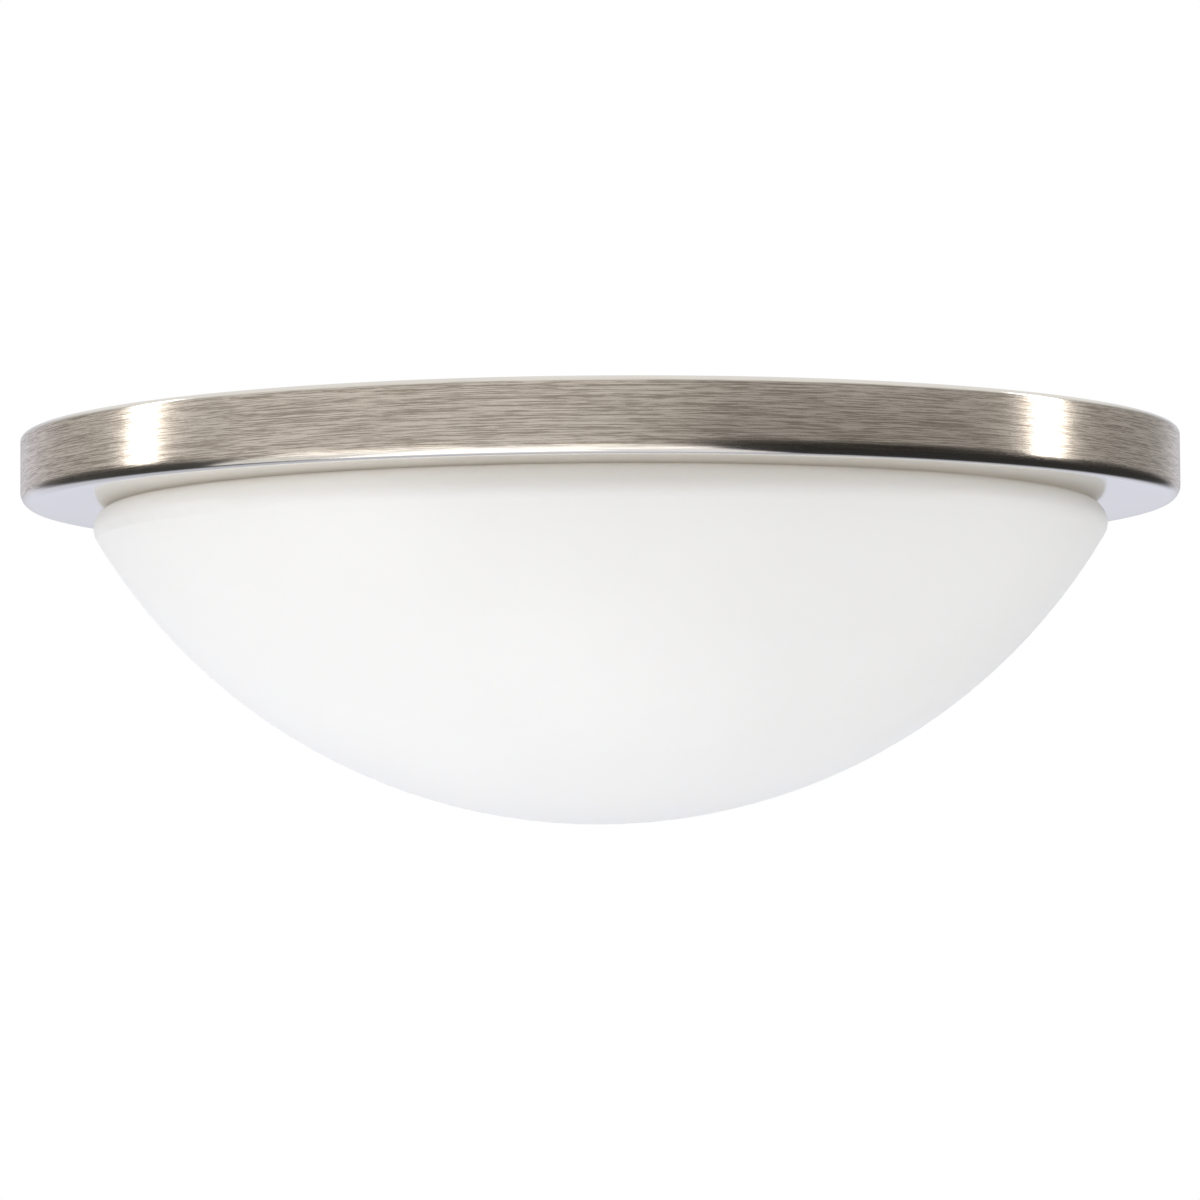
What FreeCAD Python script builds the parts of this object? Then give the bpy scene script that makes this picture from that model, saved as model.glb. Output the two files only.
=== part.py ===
"""Flush mount ceiling light: a stamped metal pan on a mounting bar, with an opal glass
bowl held by three sprung clips, and two lamps side by side inside it.

Millimetres, +Z up. The origin is the middle of the ceiling plane, so all of the light
is below z = 0.
"""
import FreeCAD
import Part
import math
import os

Vec = FreeCAD.Vector
UP = Vec(0, 0, 1)
ALONG = Vec(1, 0, 0)
MIDDLE = Vec(0, 0, 0)

# --- Pan: one stamping with a turned-in rim, a side wall, a flat underside, a collar
# --- round the glass and a recessed floor
PAN_R = 177.8
PAN_DROP = 21.3
PAN_SHEET = 0.8
RIM_WIDTH = 5.0
RIM_EDGE_R = 1.5
FOOT_EDGE_R = 4.4
OPENING_EDGE_R = 1.2
RECESS = 11.3

# --- Glass: a lipped neck inside the collar, a tight shoulder under the pan, one crown
GLASS_R = 155.65
GLASS_OVERHANG = 8.25
GLASS_DEPTH = 97.25
GLASS_WALL = 4.0
SHOULDER_R = 6.4
NECK_GAP = 4.1
NECK_FILLET = 1.0
LIP_OVERHANG = 3.0
LIP_EDGE_R = 1.0
GASKET_T = 2.5

# --- Clips: three sprung strips behind the collar, each with a hook through a slot
CLIP_COUNT = 3
CLIP_FIRST_ANGLE = 90.0
CLIP_WIDTH = 14.0
CLIP_STRIP = 0.5
CLIP_BEND_R = 0.5
CLIP_TOP_GAP = 0.3
HOOK_GAP = 0.9
SLEEVE_T = 0.5
SLEEVE_GAP = 0.1
SLOT_GAP = 0.3
CLIP_RIVET_SPREAD = 8.0
CLIP_RIVET_R = 1.1
CLIP_RIVET_HEAD_R = 1.7
CLIP_RIVET_HEAD_T = 0.5
NOTCH_TURN = 20.0
NOTCH_GAP = 1.5

# --- Reflector and insulation
REFLECTOR_GAP = 1.8
REFLECTOR_SHEET = 0.6
PAD_EDGE_GAP = 5.2
PAD_INNER_R = 96.0
PAD_T = 8.0

# --- Mounting bar, its studs, washers and cap nuts
BAR_LENGTH = 127.0
BAR_WIDTH = 19.0
BAR_T = 1.5
BAR_CORNER_R = 3.0
BOX_SLOT_SPACING = 79.4
BOX_SLOT_LENGTH = 14.3
BOX_SLOT_WIDTH = 4.8
BAR_CENTRE_HOLE_R = 5.2
STUD_SPACING = 114.3
STUD_R = 2.08
STUD_COLLAR_R = 3.4
STUD_COLLAR_T = 1.0
STUD_IN_NUT = 5.0
STUD_HOLE_GAP = 0.5
FIT_GAP = 0.03
WASHER_R = 6.0
WASHER_T = 0.9
NUT_ACROSS_FLATS = 8.7
NUT_HEX_T = 3.6
NUT_DOME_R = 3.9
GROUND_SCREW_X = 19.0
GROUND_SCREW_R = 2.3
GROUND_HEAD_ACROSS_FLATS = 8.0
GROUND_HEAD_T = 2.8

# --- Wire bushing and leads
BUSHING_Y = 22.0
BUSHING_R = 8.9
BUSHING_BORE_R = 6.3
BUSHING_FLANGE_R = 11.0
BUSHING_FLANGE_T = 1.2
BUSHING_BARB = 0.8
BUSHING_BARB_T = 1.0
LEAD_R = 1.0
LEAD_END_GAP = 0.3
LEAD_RUN_DROP = 8.4
LEAD_SAG = 1.5
LEAD_BENDS = ((0.31, 2.6), (0.68, 1.6))
LEAD_SPACING = 3.6
LEAD_HOLE_GAP = 0.1
LEAD_HOLE_SPACING = 10.0
LEAD_HOLE_FROM_BACK = 4.0
LEAD_HOLE_DEPTH = 7.0

# --- Lamps and lampholders, along X, one facing each way
LAMP_COUNT = 2
LAMP_START_X = 52.0
LAMP_OFFSET_Y = 36.0
LAMP_DROP = 46.0
LAMP_LENGTH = 108.0
LAMP_R = 30.0
LAMP_SHOULDER_X = 55.0
LAMP_SHOULDER_R = 27.5
LAMP_NECK_R = 14.2
LAMP_BODY_HOLLOW = 1.2
GLOBE_WALL = 1.5
BOARD_R = 22.0
BOARD_T = 1.6
CAP_R = 13.0
CAP_WALL = 0.5
CAP_START = 6.5
CAP_END = 25.5
CAP_TURN_IN = 1.4
SPIGOT_LENGTH = 9.0
CONTACT_R = 4.9
CONTACT_T = 1.6
INSULATOR_TIP_R = 5.4
INSULATOR_SEAT = 2.0
HOLDER_R = 19.0
HOLDER_MOUTH = 22.0
HOLDER_FLOOR = 3.0
HOLDER_BACK_T = 8.0
HOLDER_EDGE_R = 1.5
SHELL_WALL = 0.4
SHELL_GAP = 0.25
SHELL_SEAT_GAP = 0.05
SHELL_FLOOR_R = 8.5
TONGUE_WIDTH = 6.0
TONGUE_T = 0.6
TONGUE_BASE = 7.0
TONGUE_TIP = 4.0
BRACKET_T = 1.2
BRACKET_WIDTH = 24.0
BRACKET_BEND_R = 1.2
BRACKET_FOOT = 16.0
BRACKET_BELOW_AXIS = 13.0
BRACKET_RIVET_SPREAD = 12.0
BRACKET_RIVET_R = 1.6
BRACKET_RIVET_HEAD_R = 2.8
BRACKET_RIVET_HEAD_T = 1.1
HOLDER_SCREW_SPREAD = 16.0
HOLDER_SCREW_R = 1.5
HOLDER_SCREW_HEAD_R = 2.9
HOLDER_SCREW_HEAD_T = 1.8
HOLDER_SCREW_DEPTH = 5.0
SCREW_SLOT_WIDTH = 0.8
SCREW_SLOT_DEPTH = 0.9

# --- Heights and radii that follow
UNDERSIDE_Z = -PAN_DROP
FLOOR_Z = UNDERSIDE_Z + RECESS
FLOOR_TOP_Z = FLOOR_Z + PAN_SHEET
PLATE_Z = FLOOR_Z - REFLECTOR_SHEET
OPENING_R = GLASS_R - GLASS_OVERHANG
COLLAR_BACK_R = OPENING_R + PAN_SHEET
PAD_R = COLLAR_BACK_R - PAD_EDGE_GAP
NECK_R = OPENING_R - NECK_GAP
NECK_BORE_R = NECK_R - GLASS_WALL
REFLECTOR_R = NECK_BORE_R - REFLECTOR_GAP
LIP_R = NECK_R + LIP_OVERHANG
LIP_TOP_Z = FLOOR_Z - GASKET_T
LIP_BOTTOM_Z = LIP_TOP_Z - GLASS_WALL
HOOK_TOP_Z = LIP_BOTTOM_Z - SLEEVE_GAP - SLEEVE_T
HOOK_TIP_R = NECK_R + HOOK_GAP
CLIP_ANGLE = math.degrees(CLIP_WIDTH / OPENING_R)
WASHER_Z = PLATE_Z - WASHER_T
LAMP_Z = -LAMP_DROP
SHELL_R = CAP_R + SHELL_GAP + SHELL_WALL
HOLDER_BACK_X = -HOLDER_FLOOR - HOLDER_BACK_T
PLATE_ABOVE_LAMP = PLATE_Z - LAMP_Z


# ------------------------------------------------------------------ drawing helpers
def line(first, last):
    """A straight edge."""
    return Part.LineSegment(first, last).toShape()


def arc_about(centre, radius, first_angle, last_angle):
    """An arc in the XZ plane; angles in degrees from +X towards +Z."""
    points = []
    for share in (0.0, 0.5, 1.0):
        angle = math.radians(first_angle + share * (last_angle - first_angle))
        points.append(centre + Vec(radius * math.cos(angle), 0, radius * math.sin(angle)))
    return Part.Arc(*points).toShape()


def path_edges(points, radii):
    """Straight runs through the points, each inner corner rounded by its radius."""
    edges = []
    here = points[0]
    for number, radius in enumerate(radii, start=1):
        corner = points[number]
        back = (points[number - 1] - corner).normalize()
        ahead = (points[number + 1] - corner).normalize()
        half_turn = (math.pi - back.getAngle(ahead)) / 2
        reach = radius * math.tan(half_turn)
        first = corner + back * reach
        last = corner + ahead * reach
        inward = (back + ahead).normalize()
        middle = corner + inward * (radius / math.cos(half_turn) - radius)
        edges.append(line(here, first))
        edges.append(Part.Arc(first, middle, last).toShape())
        here = last
    edges.append(line(here, points[-1]))
    return edges


def beside(points, distance):
    """The path in the XZ plane moved to its right by the distance."""
    normals = []
    for first, last in zip(points, points[1:]):
        run = (last - first).normalize()
        normals.append(Vec(run.z, 0, -run.x))
    moved = [points[0] + normals[0] * distance]
    for number in range(1, len(normals)):
        before = normals[number - 1]
        after = normals[number]
        moved.append(points[number] + (before + after) * (distance / (1 + before.dot(after))))
    moved.append(points[-1] + normals[-1] * distance)
    return moved


def sheet_section(points, radii, sheet):
    """A bent sheet in the XZ plane: the path is one face, the sheet lies to its right."""
    far_points = beside(points, sheet)
    far_radii = []
    for number, radius in enumerate(radii, start=1):
        before = points[number] - points[number - 1]
        after = points[number + 1] - points[number]
        turns_right = before.cross(after).y > 0
        far_radii.append(radius - sheet if turns_right else radius + sheet)
    edges = path_edges(points, radii)
    edges += path_edges(far_points, far_radii)
    edges.append(line(points[0], far_points[0]))
    edges.append(line(points[-1], far_points[-1]))
    return closed_face(edges)


def closed_face(edges):
    """The face inside a closed run of edges."""
    return Part.Face(Part.Wire(Part.sortEdges(edges)[0]))


def polygon_face(points):
    """The face inside straight edges."""
    return Part.Face(Part.makePolygon(points + [points[0]]))


def ring_section(inner_r, outer_r, bottom_z, top_z):
    """A rectangle in the XZ plane, to be turned round the Z axis."""
    corners = [Vec(inner_r, 0, bottom_z), Vec(outer_r, 0, bottom_z)]
    corners += [Vec(outer_r, 0, top_z), Vec(inner_r, 0, top_z)]
    return polygon_face(corners)


def turned(face):
    """The face swept once round the Z axis."""
    return face.revolve(MIDDLE, UP, 360)


def turned_about_x(face):
    """A face in the XZ plane swept once round the X axis."""
    return face.revolve(MIDDLE, ALONG, 360)


def sector(face, angle, middle_angle):
    """The face swept by an angle round the Z axis, about a middle direction."""
    swept = face.revolve(MIDDLE, UP, angle)
    swept.rotate(MIDDLE, UP, middle_angle - angle / 2)
    return swept


def rod_z(x, y, bottom_z, top_z, radius):
    """A rod parallel to Z."""
    return Part.makeCylinder(radius, top_z - bottom_z, Vec(x, y, bottom_z))


def rod_x(first_x, last_x, y, z, radius):
    """A rod parallel to X."""
    return Part.makeCylinder(radius, last_x - first_x, Vec(first_x, y, z), ALONG)


def hexagon_prism(across_flats, bottom_z, top_z, x, y):
    """A hexagonal prism with two flats parallel to X."""
    corner_r = across_flats / math.sqrt(3)
    corners = []
    for number in range(6):
        angle = math.radians(60 * number)
        corners.append(Vec(x + corner_r * math.cos(angle), y + corner_r * math.sin(angle), bottom_z))
    return polygon_face(corners).extrude(Vec(0, 0, top_z - bottom_z))


def slot(x, length, width, bottom_z, top_z):
    """A round-ended slot along X."""
    half = (length - width) / 2
    height = top_z - bottom_z
    block = Part.makeBox(2 * half, width, height, Vec(x - half, -width / 2, bottom_z))
    ends = [rod_z(x + side * half, 0, bottom_z, top_z, width / 2) for side in (-1, 1)]
    return block.fuse(ends)


def clip_angles():
    """The directions of the clips round the collar."""
    step = 360 / CLIP_COUNT
    return [CLIP_FIRST_ANGLE + number * step for number in range(CLIP_COUNT)]


def stud_places():
    """The X places of the two studs."""
    return [-STUD_SPACING / 2, STUD_SPACING / 2]


def at_lamp(shape, number):
    """A shape drawn along +X from a lamp's contact, moved to lamp 1 or 2.

    The second lamp is the first one turned by half a turn about the light's axis.
    """
    placed = shape.copy()
    placed.translate(Vec(-LAMP_START_X, LAMP_OFFSET_Y, LAMP_Z))
    placed.rotate(MIDDLE, UP, (number - 1) * 360 / LAMP_COUNT)
    return placed


def bracket_rivet_places():
    """The foot rivets of one bracket, from the lamp's contact."""
    x = HOLDER_BACK_X - BRACKET_T - BRACKET_FOOT / 2
    return [Vec(x, side * BRACKET_RIVET_SPREAD / 2, 0) for side in (-1, 1)]


# ------------------------------------------------------------------------ the pan
def floor_holes(bottom_z, top_z):
    """What the floor and the reflector are both pierced for."""
    holes = [rod_z(0, BUSHING_Y, bottom_z, top_z, BUSHING_R + FIT_GAP)]
    for x in stud_places():
        holes.append(rod_z(x, 0, bottom_z, top_z, STUD_R + STUD_HOLE_GAP))
    for number in range(1, LAMP_COUNT + 1):
        for place in bracket_rivet_places():
            hole = rod_z(place.x, place.y, bottom_z - LAMP_Z, top_z - LAMP_Z, BRACKET_RIVET_R + FIT_GAP)
            holes.append(at_lamp(hole, number))
    return holes


def clip_rivet(first_r, last_r, radius, clip_angle, side):
    """A radial rod at one of a clip's two rivets."""
    rod = rod_x(first_r, last_r, 0, clip_rivet_z(), radius)
    rod.rotate(MIDDLE, UP, clip_angle + side * math.degrees(CLIP_RIVET_SPREAD / 2 / OPENING_R))
    return rod


def clip_rivet_z():
    """Half-way between the floor's bend and the slots."""
    return (FLOOR_Z - OPENING_EDGE_R + LIP_BOTTOM_Z) / 2


def pan():
    """The stamping, with the clips' slots and rivet holes in its collar."""
    path = [
        Vec(PAN_R - RIM_WIDTH, 0, 0),
        Vec(PAN_R, 0, 0),
        Vec(PAN_R, 0, UNDERSIDE_Z),
        Vec(OPENING_R, 0, UNDERSIDE_Z),
        Vec(OPENING_R, 0, FLOOR_Z),
        Vec(0, 0, FLOOR_Z),
    ]
    radii = [RIM_EDGE_R, FOOT_EDGE_R, OPENING_EDGE_R, OPENING_EDGE_R]
    body = turned(sheet_section(path, radii, PAN_SHEET))
    cuts = floor_holes(FLOOR_Z - 1, FLOOR_TOP_Z + 1)
    slot_bottom = HOOK_TOP_Z - CLIP_STRIP - SLEEVE_T - SLOT_GAP
    slot_top = HOOK_TOP_Z + SLEEVE_T + SLOT_GAP
    window = ring_section(OPENING_R - 1, COLLAR_BACK_R + 1, slot_bottom, slot_top)
    window_angle = CLIP_ANGLE + 2 * math.degrees(SLOT_GAP / OPENING_R)
    for angle in clip_angles():
        cuts.append(sector(window, window_angle, angle))
        for side in (-1, 1):
            cuts.append(clip_rivet(OPENING_R - 1, COLLAR_BACK_R + 1, CLIP_RIVET_R + FIT_GAP, angle, side))
    return body.cut(cuts)


def reflector_plate():
    """A flat white disc under the floor."""
    plate = rod_z(0, 0, PLATE_Z, FLOOR_Z, REFLECTOR_R)
    return plate.cut(floor_holes(PLATE_Z - 1, FLOOR_Z + 1))


def insulation_pad():
    """A soft ring on top of the floor, clear of the mounting bar."""
    return turned(ring_section(PAD_INNER_R, PAD_R, FLOOR_TOP_Z, FLOOR_TOP_Z + PAD_T))


# ----------------------------------------------------------------------- mounting
def mounting_bar():
    """A flat bar on the outlet box, slotted for the box's own screws."""
    block = Part.makeBox(BAR_LENGTH, BAR_WIDTH, BAR_T, Vec(-BAR_LENGTH / 2, -BAR_WIDTH / 2, -BAR_T))
    upright = [edge for edge in block.Edges if abs(edge.tangentAt(edge.FirstParameter).z) > 0.5]
    block = block.makeFillet(BAR_CORNER_R, upright)
    cuts = [rod_z(0, 0, -BAR_T - 1, 1, BAR_CENTRE_HOLE_R)]
    cuts.append(rod_z(GROUND_SCREW_X, 0, -BAR_T - 1, 1, GROUND_SCREW_R + FIT_GAP))
    for side in (-1, 1):
        cuts.append(slot(side * BOX_SLOT_SPACING / 2, BOX_SLOT_LENGTH, BOX_SLOT_WIDTH, -BAR_T - 1, 1))
    for x in stud_places():
        cuts.append(rod_z(x, 0, -BAR_T - 1, 1, STUD_R + FIT_GAP))
    return block.cut(cuts)


def mounting_studs():
    """Two studs staked in the bar, flush on top, that hang down through the floor."""
    studs = []
    for x in stud_places():
        shank = rod_z(x, 0, WASHER_Z - STUD_IN_NUT, 0, STUD_R)
        collar = rod_z(x, 0, -BAR_T - STUD_COLLAR_T, -BAR_T, STUD_COLLAR_R)
        studs.append(shank.fuse(collar))
    return Part.makeCompound(studs)


def mounting_washers():
    """A washer on each stud, under the reflector."""
    washers = []
    for x in stud_places():
        disc = rod_z(x, 0, WASHER_Z, PLATE_Z, WASHER_R)
        washers.append(disc.cut(rod_z(x, 0, WASHER_Z - 1, PLATE_Z + 1, STUD_R + STUD_HOLE_GAP / 2)))
    return Part.makeCompound(washers)


def mounting_nuts():
    """Cap nuts: a hexagon with a domed blind end downwards."""
    nuts = []
    hex_bottom = WASHER_Z - NUT_HEX_T
    for x in stud_places():
        hexagon = hexagon_prism(NUT_ACROSS_FLATS, hex_bottom, WASHER_Z, x, 0)
        dome = Part.makeSphere(NUT_DOME_R, Vec(x, 0, hex_bottom), UP, -90, 0, 360)
        bore = rod_z(x, 0, WASHER_Z - STUD_IN_NUT - FIT_GAP, WASHER_Z + 1, STUD_R + FIT_GAP)
        nuts.append(hexagon.fuse(dome).cut(bore))
    return Part.makeCompound(nuts)


def ground_screw():
    """The bonding screw in the bar, head down."""
    shank = rod_z(GROUND_SCREW_X, 0, -BAR_T, 0, GROUND_SCREW_R)
    head_bottom = -BAR_T - GROUND_HEAD_T
    head = hexagon_prism(GROUND_HEAD_ACROSS_FLATS, head_bottom, -BAR_T, GROUND_SCREW_X, 0)
    groove = Part.makeBox(
        2 * GROUND_HEAD_ACROSS_FLATS, SCREW_SLOT_WIDTH, SCREW_SLOT_DEPTH,
        Vec(GROUND_SCREW_X - GROUND_HEAD_ACROSS_FLATS, -SCREW_SLOT_WIDTH / 2, head_bottom))
    return head.fuse(shank).cut(groove)


# ------------------------------------------------------------------ bushing and leads
def wire_bushing():
    """A snap-in bushing: flange below the reflector, barb above the floor."""
    barb_bottom = FLOOR_TOP_Z
    barb_top = barb_bottom + BUSHING_BARB_T
    flange_bottom = PLATE_Z - BUSHING_FLANGE_T
    corners = [
        Vec(BUSHING_BORE_R, 0, flange_bottom),
        Vec(BUSHING_FLANGE_R, 0, flange_bottom),
        Vec(BUSHING_FLANGE_R, 0, PLATE_Z),
        Vec(BUSHING_R, 0, PLATE_Z),
        Vec(BUSHING_R, 0, barb_bottom),
        Vec(BUSHING_R + BUSHING_BARB, 0, barb_bottom),
        Vec(BUSHING_R, 0, barb_top),
        Vec(BUSHING_BORE_R, 0, barb_top),
    ]
    bushing = turned(polygon_face(corners))
    bushing.translate(Vec(0, BUSHING_Y, 0))
    return bushing


def lead_hole_z():
    """How far above the lamp's axis the lead holes start."""
    return HOLDER_R - LEAD_HOLE_DEPTH


def lead_route(number, side):
    """A lead's points: up out of its lampholder, along under the reflector, up the bushing."""
    holder_x = HOLDER_BACK_X + LEAD_HOLE_FROM_BACK
    start = Vec(holder_x, side * LEAD_HOLE_SPACING / 2, lead_hole_z())
    start = at_lamp(Part.Vertex(start), number).Point
    facing = math.copysign(1, start.x)
    end_y = BUSHING_Y - facing * side * LEAD_SPACING / 2
    end = Vec(facing * LEAD_SPACING / 2, end_y, -LEAD_END_GAP)
    run_z = PLATE_Z - LEAD_RUN_DROP
    above_start = Vec(start.x, start.y, run_z)
    below_end = Vec(end.x, end.y, run_z)
    across = (below_end - above_start).cross(UP).normalize()
    points = [start, above_start]
    for along, bow in LEAD_BENDS:
        bend = above_start + (below_end - above_start) * along - across * (side * bow)
        bend.z = run_z - LEAD_SAG
        points.append(bend)
    return points + [below_end, end]


def tube_along(points, radius, name):
    """A round tube along straight runs and tangent arcs, with its radii printed."""
    radii = []
    for number in range(1, len(points) - 1):
        back = points[number - 1] - points[number]
        ahead = points[number + 1] - points[number]
        half_turn = (math.pi - back.getAngle(ahead)) / 2
        radii.append(0.45 * min(back.Length, ahead.Length) / math.tan(half_turn))
    path = Part.Wire(path_edges(points, radii))
    circle = Part.makeCircle(radius, points[0], (points[1] - points[0]).normalize())
    tube = path.makePipeShell([Part.Wire(circle)], True, False)
    ratio = tube.Volume / (math.pi * radius ** 2 * path.Length)
    rounded_radii = [round(value, 1) for value in radii]
    print(name, "radii", rounded_radii, "length", round(path.Length, 1), "volume ratio", round(ratio, 4))
    return tube


def leads(side, name):
    """The lead of one colour from each lampholder."""
    tubes = []
    for number in range(1, LAMP_COUNT + 1):
        tubes.append(tube_along(lead_route(number, side), LEAD_R, name))
    return Part.makeCompound(tubes)


# ------------------------------------------------------------------- lampholders
def lampholder_bracket():
    """An angle: a foot on the reflector and a leg down behind the lampholder."""
    path = [
        Vec(HOLDER_BACK_X - BRACKET_T - BRACKET_FOOT, 0, PLATE_ABOVE_LAMP),
        Vec(HOLDER_BACK_X, 0, PLATE_ABOVE_LAMP),
        Vec(HOLDER_BACK_X, 0, -BRACKET_BELOW_AXIS),
    ]
    section = sheet_section(path, [BRACKET_BEND_R + BRACKET_T], BRACKET_T)
    angle = section.extrude(Vec(0, BRACKET_WIDTH, 0))
    angle.translate(Vec(0, -BRACKET_WIDTH / 2, 0))
    foot_bottom = PLATE_ABOVE_LAMP - BRACKET_T
    cuts = []
    for place in bracket_rivet_places():
        cuts.append(rod_z(place.x, place.y, foot_bottom - 1, PLATE_ABOVE_LAMP + 1, BRACKET_RIVET_R + FIT_GAP))
    for y in holder_screw_places():
        cuts.append(rod_x(HOLDER_BACK_X - BRACKET_T - 1, HOLDER_BACK_X + 1, y, 0, HOLDER_SCREW_R + FIT_GAP))
    return angle.cut(cuts)


def holder_screw_places():
    """The Y places of the two screws behind a lampholder."""
    return [-HOLDER_SCREW_SPREAD / 2, HOLDER_SCREW_SPREAD / 2]


def lampholder_body():
    """A glazed cup with a thick back, drilled for its screws and leads."""
    bore_r = SHELL_R + SHELL_SEAT_GAP
    path = [
        Vec(HOLDER_BACK_X, 0, 0),
        Vec(HOLDER_BACK_X, 0, HOLDER_R),
        Vec(HOLDER_MOUTH, 0, HOLDER_R),
        Vec(HOLDER_MOUTH, 0, bore_r),
        Vec(-HOLDER_FLOOR, 0, bore_r),
        Vec(-HOLDER_FLOOR, 0, 0),
    ]
    edges = path_edges(path[:4], [HOLDER_EDGE_R, HOLDER_EDGE_R])
    edges += path_edges(path[3:], [SHELL_WALL])
    edges.append(line(path[-1], path[0]))
    cup = turned_about_x(closed_face(edges))
    cuts = []
    for y in holder_screw_places():
        depth_x = HOLDER_BACK_X + HOLDER_SCREW_DEPTH + FIT_GAP
        cuts.append(rod_x(HOLDER_BACK_X - 1, depth_x, y, 0, HOLDER_SCREW_R + FIT_GAP))
    for side in (-1, 1):
        hole_x = HOLDER_BACK_X + LEAD_HOLE_FROM_BACK
        hole_y = side * LEAD_HOLE_SPACING / 2
        cuts.append(rod_z(hole_x, hole_y, lead_hole_z(), HOLDER_R + 1, LEAD_R + LEAD_HOLE_GAP))
    return cup.cut(cuts)


def lampholder_shell():
    """The metal screw shell: a tube with its bottom turned in."""
    path = [
        Vec(HOLDER_MOUTH - HOLDER_EDGE_R, 0, SHELL_R),
        Vec(-HOLDER_FLOOR, 0, SHELL_R),
        Vec(-HOLDER_FLOOR, 0, SHELL_FLOOR_R),
    ]
    path.reverse()
    section = sheet_section(path, [2 * SHELL_WALL], SHELL_WALL)
    return turned_about_x(section)


def lampholder_contact():
    """A springy tongue that bears on the lamp's end."""
    back_x = -HOLDER_FLOOR
    base = Part.makeBox(TONGUE_T, TONGUE_WIDTH, 2 * TONGUE_BASE, Vec(back_x, -TONGUE_WIDTH / 2, -TONGUE_BASE))
    rise = [
        Vec(back_x, 0, TONGUE_BASE),
        Vec(back_x, 0, TONGUE_BASE - 2 * TONGUE_T),
        Vec(-TONGUE_T, 0, -TONGUE_TIP),
        Vec(0, 0, -TONGUE_TIP),
        Vec(0, 0, TONGUE_TIP),
        Vec(-TONGUE_T, 0, TONGUE_TIP),
    ]
    tongue = polygon_face(rise).extrude(Vec(0, TONGUE_WIDTH, 0))
    tongue.translate(Vec(0, -TONGUE_WIDTH / 2, 0))
    return base.fuse(tongue)


def lampholder_screws():
    """Two screws from behind the bracket into the lampholder's back."""
    screws = []
    head_back = HOLDER_BACK_X - BRACKET_T - HOLDER_SCREW_HEAD_T
    for y in holder_screw_places():
        shank = rod_x(HOLDER_BACK_X - BRACKET_T, HOLDER_BACK_X + HOLDER_SCREW_DEPTH, y, 0, HOLDER_SCREW_R)
        head = rod_x(head_back, HOLDER_BACK_X - BRACKET_T, y, 0, HOLDER_SCREW_HEAD_R)
        groove = Part.makeBox(
            SCREW_SLOT_DEPTH, 4 * HOLDER_SCREW_HEAD_R, SCREW_SLOT_WIDTH,
            Vec(head_back, y - 2 * HOLDER_SCREW_HEAD_R, -SCREW_SLOT_WIDTH / 2))
        screws.append(head.fuse(shank).cut(groove))
    return Part.makeCompound(screws)


def bracket_rivets():
    """Rivets through each bracket's foot, the reflector and the floor."""
    rivets = []
    foot_bottom = PLATE_Z - BRACKET_T
    levels = [
        (foot_bottom - BRACKET_RIVET_HEAD_T, foot_bottom, BRACKET_RIVET_HEAD_R),
        (foot_bottom, FLOOR_TOP_Z, BRACKET_RIVET_R),
        (FLOOR_TOP_Z, FLOOR_TOP_Z + BRACKET_RIVET_HEAD_T, BRACKET_RIVET_HEAD_R),
    ]
    for number in range(1, LAMP_COUNT + 1):
        for place in bracket_rivet_places():
            rods = []
            for bottom_z, top_z, radius in levels:
                rods.append(rod_z(place.x, place.y, bottom_z - LAMP_Z, top_z - LAMP_Z, radius))
            rivets.append(at_lamp(rods[0].fuse(rods[1:]), number))
    return Part.makeCompound(rivets)


# --------------------------------------------------------------------------- lamps
def lamp_contact():
    """The end contact of a lamp."""
    return rod_x(0, CONTACT_T, 0, 0, CONTACT_R)


def lamp_insulator():
    """The dark glass cone between the end contact and the cap."""
    seat_r = CAP_R - CAP_WALL
    turn_in_r = CAP_R - CAP_WALL - CAP_TURN_IN
    corners = [
        Vec(CONTACT_T, 0, 0),
        Vec(CONTACT_T, 0, INSULATOR_TIP_R),
        Vec(CAP_START, 0, turn_in_r),
        Vec(CAP_START + CAP_WALL, 0, turn_in_r),
        Vec(CAP_START + CAP_WALL, 0, seat_r - CAP_WALL),
        Vec(CAP_START + 2 * CAP_WALL, 0, seat_r),
        Vec(CAP_START + CAP_WALL + INSULATOR_SEAT, 0, seat_r),
        Vec(CAP_START + CAP_WALL + INSULATOR_SEAT, 0, 0),
    ]
    return turned_about_x(polygon_face(corners))


def lamp_cap():
    """The thin metal cap, its end turned in over the cone."""
    path = [
        Vec(CAP_START, 0, CAP_R - CAP_WALL - CAP_TURN_IN),
        Vec(CAP_START, 0, CAP_R),
        Vec(CAP_END, 0, CAP_R),
    ]
    return turned_about_x(sheet_section(path, [2 * CAP_WALL], CAP_WALL))


def lamp_body():
    """The white housing: a spigot in the cap and a flare up to the globe."""
    spigot_r = CAP_R - CAP_WALL
    first = Vec(CAP_END, 0, LAMP_NECK_R)
    last = Vec(LAMP_SHOULDER_X, 0, LAMP_SHOULDER_R)
    run = (last - first).normalize()
    middle = (first + last) * 0.5 + Vec(run.z, 0, -run.x) * LAMP_BODY_HOLLOW
    corners = [
        last,
        Vec(LAMP_SHOULDER_X, 0, 0),
        Vec(CAP_END - SPIGOT_LENGTH, 0, 0),
        Vec(CAP_END - SPIGOT_LENGTH, 0, spigot_r),
        Vec(CAP_END, 0, spigot_r),
        first,
    ]
    edges = [line(start, end) for start, end in zip(corners, corners[1:])]
    edges.append(Part.Arc(first, middle, last).toShape())
    return turned_about_x(closed_face(edges))


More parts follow.
